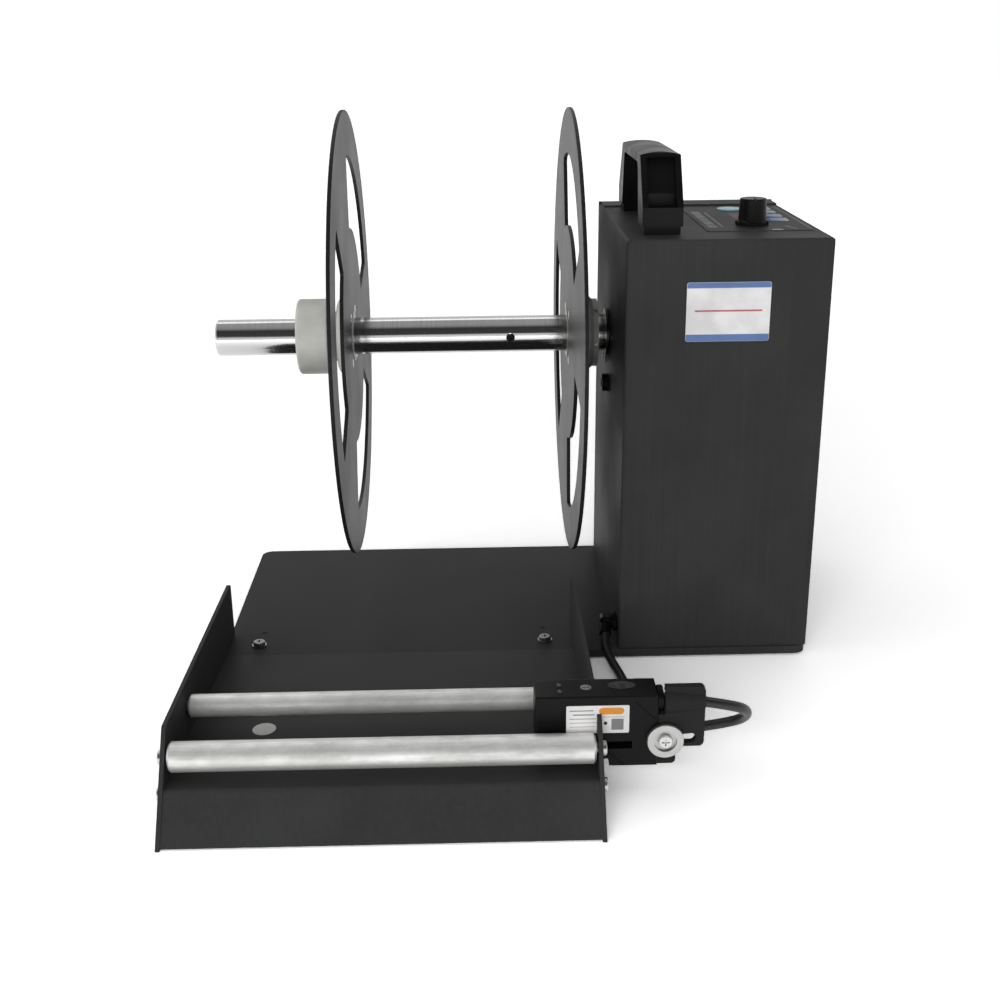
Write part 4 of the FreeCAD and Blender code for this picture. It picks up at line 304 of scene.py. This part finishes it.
def paint_materials():
    return {
        "black_sheet": powder_coat("black_powder_coat", (0.0370, 0.0385, 0.0370), 0.52, specular=0.06),
        "ear_coat": powder_coat("ear_powder_coat", (0.021, 0.022, 0.021), 0.52, specular=0.06),
        # The third colour is the painted shade on the discs' rims.
        "disc_paint": disc_paint("grey_disc_paint", (0.094, 0.094, 0.091), (0.012, 0.012, 0.012)),
        "mat_rubber": moulded_plastic("mat_rubber", (0.012, 0.012, 0.012), 0.8, 0.0003, 700.0),
        "screw_steel": turned_metal("screw_steel", (0.56, 0.55, 0.53), 0.30, "X", 900.0),
        "bare_steel": turned_metal("bare_steel", (0.38, 0.38, 0.38), 0.35, "X"),
        "blued_steel": turned_metal("blued_steel", (0.05, 0.05, 0.055), 0.32, "X"),
        "shaft_chrome": turned_metal("ground_shaft", (0.56, 0.56, 0.56), 0.11, "X", 3000.0, 0.015),
        "nylon": nylon("white_nylon", (0.52, 0.52, 0.49)),
        # A darker copy of the white nylon: painted shade on the inner hub.
        "nylon_shaded": nylon("shaded_white_nylon", (0.24, 0.24, 0.225)),
        "zinc_screws": turned_metal("zinc_screws", (0.72, 0.72, 0.70), 0.42, "X", 900.0, 0.12, 0.6),
        "black_plastic": moulded_plastic("black_plastic", (0.0045, 0.0048, 0.0045), 0.38, specular=0.12),
        "roller_aluminium": worn_aluminium("roller_aluminium"),
        "cast_aluminium": turned_metal("turned_aluminium", (0.50, 0.50, 0.49), 0.42, "Y", 1200.0),
        "bearing_steel": turned_metal("bearing_steel", (0.66, 0.66, 0.67), 0.16),
        "motor_paint": powder_coat("motor_paint", (0.10, 0.11, 0.12), 0.5),
        "belt_rubber": moulded_plastic("belt_rubber", (0.03, 0.03, 0.03), 0.7, 0.0003, 500.0),
        "key_film": key_film("key_film"),
        "round_blue": moulded_plastic("round_blue", (0.15, 0.40, 0.46), 0.30, 0.00003),
        "display_red": moulded_plastic("display_red", (0.11, 0.022, 0.028), 0.45, 0.00002, specular=0.08),
        "board_green": moulded_plastic("board_green", (0.02, 0.12, 0.05), 0.4, 0.0002, 900.0),
        "spacer_brass": turned_metal("spacer_brass", (0.72, 0.52, 0.22), 0.25, "Z"),
        "label_white": moulded_plastic("label_white", (0.76, 0.75, 0.75), 0.45, 0.00003),
        "lamp_clear": glazed("lamp_clear", (0.045, 0.047, 0.042), 0.20, 0.3),
        "cable_black": moulded_plastic("cable_black", (0.014, 0.014, 0.014), 0.42, 0.00008),
        "dull_zinc": turned_metal("dull_zinc", (0.34, 0.34, 0.33), 0.38, "Z", 700.0),
        "ink_blue": moulded_plastic("ink_blue", (0.090, 0.165, 0.36), 0.40, 0.00002),
        "ink_red": moulded_plastic("ink_red", (0.42, 0.11, 0.14), 0.40, 0.00002),
        "ink_grey": moulded_plastic("ink_grey", (0.20, 0.20, 0.20), 0.45, 0.00002),
        # Dim print on the panel, also used for a painted highlight along the panel's right edge.
        "ink_dim_and_highlight": moulded_plastic("ink_dim_and_highlight", (0.13, 0.13, 0.13), 0.45, 0.00002, specular=0.10),
        "ink_pale": moulded_plastic("ink_pale", (0.34, 0.34, 0.33), 0.45, 0.00002, specular=0.10),
        # Painted shade of the groove along the panel's edge.
        "groove_shade_ink": moulded_plastic("groove_shade_ink", (0.006, 0.006, 0.006), 0.45, 0.00002),
        "ink_orange": moulded_plastic("ink_orange", (0.68, 0.26, 0.03), 0.40, 0.00002),
        "dark_line": moulded_plastic("dark_line", (0.001, 0.001, 0.001), 0.60, 0.00002, specular=0.02),
        "sticker_grey": moulded_plastic("sticker_grey", (0.60, 0.60, 0.59), 0.40, 0.00004),
    }


def dress_nodes(materials):
    # The inner hub takes the darker copy of the nylon, which is painted shade.
    own = {"tray_screws": "dull_zinc", "inner_hub": "nylon_shaded", "inner_hub_screws": "zinc_screws",
           "clamp_screw": "zinc_screws", "sensor_ear": "ear_coat", "sensor_arm": "ear_coat",
           "control_panel": "black_sheet"}
    for entry in frame["record"]["subparts"]:
        piece = NODES[entry["node"]]
        slot = own.get(entry["node"], entry["material_slot"])
        piece.data.materials.clear()
        piece.data.materials.append(materials[slot])


# ---- pieces ----
def make_cable(material):
    curve = bpy.data.curves.new("sensor_lead", "CURVE")
    curve.dimensions = "3D"
    curve.bevel_depth = CABLE_DIAMETER / 2
    curve.bevel_resolution = 8
    curve.resolution_u = 16
    curve.use_fill_caps = True
    spline = curve.splines.new("NURBS")
    spline.points.add(len(CABLE_ROUTE) - 1)
    for point, at in zip(spline.points, CABLE_ROUTE):
        point.co = (*at, 1.0)
    spline.order_u = 3
    spline.use_endpoint_u = True
    lead = bpy.data.objects.new("sensor_lead", curve)
    bpy.context.collection.objects.link(lead)
    curve.materials.append(material)
    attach(lead, "frame_body")
    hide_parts("sensor_cable")
    return lead


def rect(u0, v0, u1, v1, radius=0.0, corners=(1, 1, 1, 1)):
    """Rectangle with the corners marked 1 rounded: low left, low right, high right, high left."""
    points = []
    turns = ((u0, v0, 1, 1, 180), (u1, v0, -1, 1, 270), (u1, v1, -1, -1, 0), (u0, v1, 1, -1, 90))
    for (u, v, inward_u, inward_v, start), rounded in zip(turns, corners):
        if not rounded or radius == 0.0:
            points.append((u, v))
            continue
        for step in range(7):
            angle = math.radians(start + 15 * step)
            points.append((u + inward_u * radius + radius * math.cos(angle),
                           v + inward_v * radius + radius * math.sin(angle)))
    return points


def ellipse(u, v, half_u, half_v, count=40):
    return [(u + half_u * math.cos(2 * math.pi * i / count), v + half_v * math.sin(2 * math.pi * i / count))
            for i in range(count)]


def stroke(u0, v0, u1, v1, width):
    along = Vector((u1 - u0, v1 - v0)).normalized()
    side = Vector((-along.y, along.x)) * width / 2
    return [(u0 - side.x, v0 - side.y), (u1 - side.x, v1 - side.y),
            (u1 + side.x, v1 + side.y), (u0 + side.x, v0 + side.y)]


def make_print(name, body, origin, u_axis, v_axis, shapes, thick=0.03):
    """Printed or stuck-on film: flat shapes in millimetres on one plane, each with its own material."""
    u_dir = Vector(u_axis)
    v_dir = Vector(v_axis).normalized()
    lift = u_dir.cross(v_dir) * thick
    mesh = bpy.data.meshes.new(name)
    built = bmesh.new()
    used = []
    for material, points in shapes:
        if material not in used:
            used.append(material)
        low = [built.verts.new((Vector(origin) + u_dir * u + v_dir * v) * MM) for u, v in points]
        high = [built.verts.new(vert.co + lift * MM) for vert in low]
        faces = [built.faces.new(high), built.faces.new(low[::-1])]
        for i in range(len(points)):
            j = (i + 1) % len(points)
            faces.append(built.faces.new((low[i], low[j], high[j], high[i])))
        for face in faces:
            face.material_index = used.index(material)
    bmesh.ops.recalc_face_normals(built, faces=built.faces[:])
    built.to_mesh(mesh)
    built.free()
    for material in used:
        mesh.materials.append(MATERIALS[material])
    piece = bpy.data.objects.new(name, mesh)
    bpy.context.collection.objects.link(piece)
    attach(piece, body)
    return piece


def box_in_mm(node_name):
    """Lowest and highest corner of a CAD node."""
    low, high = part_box(node_name)
    return [c / MM for c in low], [c / MM for c in high]


def print_name_plate():
    low, high = box_in_mm("name_plate")
    wide = high[0] - low[0]
    tall = high[2] - low[2]
    shapes = [("ink_blue", rect(0.15, tall - 3.5, wide - 0.15, tall - 0.1, 1.4, (0, 0, 1, 1))),
              ("ink_blue", rect(0.15, 0.1, wide - 0.15, 4.4, 1.4, (1, 1, 0, 0))),
              ("ink_red", rect(0.10 * wide, 0.505 * tall, 0.905 * wide, 0.535 * tall, 0.3))]
    make_print("name_plate_print", "frame_body", (low[0], low[1], low[2]), (1, 0, 0), (0, 0, 1), shapes)


def print_panel():
    low, high = box_in_mm("control_panel")
    wide = high[0] - low[0]
    deep = high[1] - low[1]
    shapes = []
    for v0, v1 in ((15, 27), (29, 44), (46, 58), (60, 75), (77, 92)):
        shapes.append(("ink_dim_and_highlight", rect(3.5, v0, 9.3, v1, 0.6)))
    for v0, v1 in ((18, 38), (40, 61), (63, 86)):
        shapes.append(("ink_dim_and_highlight", rect(12.0, v0, 13.4, v1, 0.4)))
    shapes.append(("ink_pale", ellipse(44.6, 3.9, 3.8, 2.6)))
    shapes.append(("ink_dim_and_highlight", stroke(52.8, 19.6, 57.2, 5.8, 1.6)))
    # Painted shade of the groove along the right edge, then a painted highlight on the edge beyond it.
    shapes.append(("groove_shade_ink", rect(wide - 1.5, 3.0, wide - 0.7, deep - 3.0)))
    shapes.append(("ink_dim_and_highlight", rect(wide - 0.5, 2.2, wide - 0.1, deep - 2.2)))
    make_print("panel_print", "frame_body", (low[0], low[1], high[2]), (1, 0, 0), (0, 1, 0), shapes)


def print_sensor_label():
    low = box_in_mm("sensor_label")[0]
    shapes = [("ink_orange", rect(17.6, 11.3, 31.2, 15.4, 2.0)),
              ("ink_grey", rect(1.8, 13.4, 14.6, 14.0)),
              ("ink_grey", rect(3.6, 10.9, 15.2, 11.6)),
              ("ink_grey", rect(1.8, 8.6, 16.0, 9.0)),
              ("ink_pale", rect(1.8, 6.2, 17.4, 6.6)),
              ("ink_pale", rect(1.8, 3.8, 15.8, 4.2)),
              ("ink_grey", rect(24.4, 1.9, 31.0, 8.6, 0.4)),
              ("ink_grey", ellipse(21.2, 6.0, 1.1, 1.1, 24)),
              ("label_white", ellipse(21.2, 6.0, 0.7, 0.7, 24)),
              ("ink_pale", rect(17.8, 9.6, 31.4, 9.9))]
    make_print("sensor_label_print", "sensor", (low[0], low[1], low[2]), (1, 0, 0), (0, 0, 1), shapes)


def draw_sensor_lines():
    """Two thin dark lines on the sensor's front face."""
    low = box_in_mm("sensor_body")[0]
    shapes = [("dark_line", stroke(53.8, 39.6, 65.0, 28.4, 0.35)),
              ("dark_line", stroke(38.6, 10.2, 48.4, 0.8, 0.35))]
    make_print("sensor_hairlines", "sensor", (low[0], low[1], low[2]), (1, 0, 0), (0, 0, 1), shapes)


def stick_on_tray():
    """Oval sticker on the sloping tray sheet."""
    shapes = [("sticker_grey", ellipse(-149.5, 73.4, 6.7, 8.0))]
    make_print("tray_sticker", "frame_body", (0.0, -284.4, 24.6), (1, 0, 0), (0, 188.4, -15.6), shapes, 0.15)


def shade_cross_hole():
    """Thin dark sleeve on the wall of the shaft's cross hole: painted shade inside the hole."""
    low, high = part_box("winding_shaft")
    middle = (low + high) / 2
    at = Vector((CROSS_HOLE_X, middle.y, middle.z))
    half = CROSS_HOLE_HALF
    mesh = bpy.data.meshes.new("cross_hole_shade_film")
    built = bmesh.new()
    rings = []
    for radius, y in ((CROSS_HOLE_R, -half), (CROSS_HOLE_R, half), (SHADE_FILM_R, half), (SHADE_FILM_R, -half)):
        around = ellipse(0.0, 0.0, radius, radius, SHADE_FILM_SIDES)
        rings.append([built.verts.new(at + Vector((u, y, v))) for u, v in around])
    for first, second in zip(rings, rings[1:] + rings[:1]):
        for i in range(SHADE_FILM_SIDES):
            j = (i + 1) % SHADE_FILM_SIDES
            built.faces.new((first[i], first[j], second[j], second[i]))
    bmesh.ops.recalc_face_normals(built, faces=built.faces[:])
    built.to_mesh(mesh)
    built.free()
    mesh.materials.append(MATERIALS["mat_rubber"])
    film = bpy.data.objects.new("cross_hole_shade_film", mesh)
    bpy.context.collection.objects.link(film)
    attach(film, "winder")


# ---- camera, floor and light ----
def aim_camera():
    yaw, pitch, roll = (math.radians(a) for a in (CAMERA_YAW, CAMERA_PITCH, CAMERA_ROLL))
    ahead = Vector((-math.sin(yaw) * math.cos(pitch), math.cos(yaw) * math.cos(pitch), -math.sin(pitch)))
    right = Vector((math.cos(yaw), math.sin(yaw), 0.0))
    up = right.cross(ahead)
    turned_right = right * math.cos(roll) + up * math.sin(roll)
    turned_up = -right * math.sin(roll) + up * math.cos(roll)
    data = bpy.data.cameras.new("camera")
    data.lens = CAMERA_LENS
    data.sensor_width = CAMERA_SENSOR
    camera = bpy.data.objects.new("camera", data)
    bpy.context.collection.objects.link(camera)
    turn = Matrix((turned_right, turned_up, -ahead)).transposed().to_4x4()
    camera.matrix_world = Matrix.Translation(CAMERA_AT) @ turn
    bpy.context.scene.camera = camera


def mix_for_seen(tree, unseen_out, seen_out):
    """The second shader for what is seen directly, in a mirror or through glass, the first for the rest."""
    rays = tree.nodes.new("ShaderNodeLightPath")
    either = tree.nodes.new("ShaderNodeMath")
    either.operation = "MAXIMUM"
    both = tree.nodes.new("ShaderNodeMath")
    both.operation = "MAXIMUM"
    tree.links.new(rays.outputs["Is Camera Ray"], either.inputs[0])
    tree.links.new(rays.outputs["Is Glossy Ray"], either.inputs[1])
    tree.links.new(either.outputs[0], both.inputs[0])
    tree.links.new(rays.outputs["Is Transmission Ray"], both.inputs[1])
    mix = tree.nodes.new("ShaderNodeMixShader")
    tree.links.new(both.outputs[0], mix.inputs[0])
    tree.links.new(unseen_out, mix.inputs[1])
    tree.links.new(seen_out, mix.inputs[2])
    return mix


def make_floor():
    """Grey for the light that it throws back on the object, white for what the camera and the metal see."""
    mesh = bpy.data.meshes.new("floor")
    corners = [(x * FLOOR_HALF, y * FLOOR_HALF, 0) for x, y in ((-1, -1), (1, -1), (1, 1), (-1, 1))]
    mesh.from_pydata(corners, [], [(0, 1, 2, 3)])
    floor = bpy.data.objects.new("floor", mesh)
    bpy.context.collection.objects.link(floor)
    material = bpy.data.materials.new("white_floor")
    material.use_nodes = True
    tree = material.node_tree
    tree.nodes.remove(tree.nodes["Principled BSDF"])
    plain = tree.nodes.new("ShaderNodeBsdfDiffuse")
    plain.inputs["Color"].default_value = (FLOOR_PLAIN, FLOOR_PLAIN, FLOOR_PLAIN, 1.0)
    seen = tree.nodes.new("ShaderNodeBsdfDiffuse")
    coords = tree.nodes.new("ShaderNodeTexCoord")
    distance = tree.nodes.new("ShaderNodeVectorMath")
    distance.operation = "LENGTH"
    tree.links.new(coords.outputs["Object"], distance.inputs[0])
    white = rise(tree, distance.outputs["Value"], FLOOR_NEAR_AT, FLOOR_FAR_AT, FLOOR_NEAR, FLOOR_FAR)
    tree.links.new(white, seen.inputs["Color"])
    mix = mix_for_seen(tree, plain.outputs[0], seen.outputs[0])
    tree.links.new(mix.outputs[0], tree.nodes["Material Output"].inputs["Surface"])
    mesh.materials.append(material)


def rise(tree, source, low, high, start=0.0, end=1.0):
    """Smooth step of a value from start to end, between low and high."""
    step = tree.nodes.new("ShaderNodeMapRange")
    step.interpolation_type = "SMOOTHSTEP"
    step.inputs["From Min"].default_value = low
    step.inputs["From Max"].default_value = high
    step.inputs["To Min"].default_value = start
    step.inputs["To Max"].default_value = end
    tree.links.new(source, step.inputs["Value"])
    return step.outputs["Result"]


def grey_ramp(tree, source, stops):
    made = tree.nodes.new("ShaderNodeValToRGB")
    elements = made.color_ramp.elements
    for index, (at, grey) in enumerate(stops):
        element = elements[index] if index < 2 else elements.new(at)
        element.position = at
        element.color = (grey, grey, grey, 1.0)
    tree.links.new(source, made.inputs["Fac"])
    return made.outputs["Color"]


def make_world():
    """Soft light, weaker from above and from the right. The camera sees plain white. The metal mirrors a
    studio: a white sweep, a grey wall with a long bright lamp behind, a dark room in front, a grey ceiling."""
    world = bpy.data.worlds.new("studio")
    bpy.context.scene.world = world
    world.use_nodes = True
    tree = world.node_tree
    soft = tree.nodes["Background"]
    soft.inputs["Color"].default_value = (1.0, 1.0, 1.0, 1.0)
    coords = tree.nodes.new("ShaderNodeTexCoord")
    split = tree.nodes.new("ShaderNodeSeparateXYZ")
    tree.links.new(coords.outputs["Generated"], split.inputs[0])
    sides = tree.nodes.new("ShaderNodeMath")
    sides.operation = "MULTIPLY"
    tree.links.new(rise(tree, split.outputs["Z"], 0.2, 0.55, SKY_LOW, SKY_HIGH), sides.inputs[0])
    tree.links.new(rise(tree, split.outputs["X"], 0.1, 0.9, 1.0, SKY_RIGHT_SHARE), sides.inputs[1])
    tree.links.new(sides.outputs[0], soft.inputs["Strength"])
    behind = grey_ramp(tree, split.outputs["Z"], (
        (0.0, 0.56), (1.0, 0.25), (0.08, 0.56), (0.22, 0.44),
        (0.74, 0.44), (0.80, 1.0), (0.87, 1.0), (0.92, 0.25)))
    ahead = grey_ramp(tree, split.outputs["Z"], (
        (0.0, 0.56), (1.0, 0.25), (0.12, 0.56), (0.32, 0.035), (0.80, 0.030), (0.94, 0.22)))
    blend = tree.nodes.new("ShaderNodeMix")
    blend.data_type = "RGBA"
    tree.links.new(rise(tree, split.outputs["Y"], -0.15, 0.15), blend.inputs[0])
    tree.links.new(ahead, blend.inputs[MIX_A])
    tree.links.new(behind, blend.inputs[MIX_B])
    studio = tree.nodes.new("ShaderNodeBackground")
    studio.inputs["Strength"].default_value = STUDIO_STRENGTH
    tree.links.new(blend.outputs[MIX_OUT], studio.inputs["Color"])
    white = tree.nodes.new("ShaderNodeBackground")
    white.inputs["Color"].default_value = (1.0, 1.0, 1.0, 1.0)
    rays = tree.nodes.new("ShaderNodeLightPath")
    seen = tree.nodes.new("ShaderNodeMixShader")
    tree.links.new(rays.outputs["Is Camera Ray"], seen.inputs[0])
    tree.links.new(studio.outputs[0], seen.inputs[1])
    tree.links.new(white.outputs[0], seen.inputs[2])
    mix = mix_for_seen(tree, soft.outputs[0], seen.outputs[0])
    tree.links.new(mix.outputs[0], tree.nodes["World Output"].inputs["Surface"])


def add_lamp(name, at, target, size, watts):
    data = bpy.data.lights.new(name, "AREA")
    data.shape = "RECTANGLE"
    data.size, data.size_y = size
    data.energy = watts
    lamp = bpy.data.objects.new(name, data)
    bpy.context.collection.objects.link(lamp)
    lamp.location = at
    lamp.rotation_euler = (Vector(target) - Vector(at)).to_track_quat("-Z", "Y").to_euler()
    lamp.visible_glossy = False


def light_scene():
    add_lamp("top_softbox", (0.0, 0.1, 1.9), (0.0, 0.0, 0.1), (1.8, 1.6), 1.5)
    add_lamp("front_softbox", (-0.4, -2.0, 0.75), (0.0, 0.0, 0.20), (1.4, 1.0), 20.0)
    add_lamp("left_softbox", (-1.8, -0.2, 0.9), (0.0, 0.0, 0.2), (1.0, 1.4), 4.2)


MATERIALS = paint_materials()
dress_nodes(MATERIALS)
make_cable(MATERIALS["cable_black"])
aim_camera()
print_name_plate()
print_panel()
print_sensor_label()
draw_sensor_lines()
stick_on_tray()
shade_cross_hole()
make_floor()
make_world()
light_scene()
bpy.context.scene.view_settings.view_transform = "Standard"
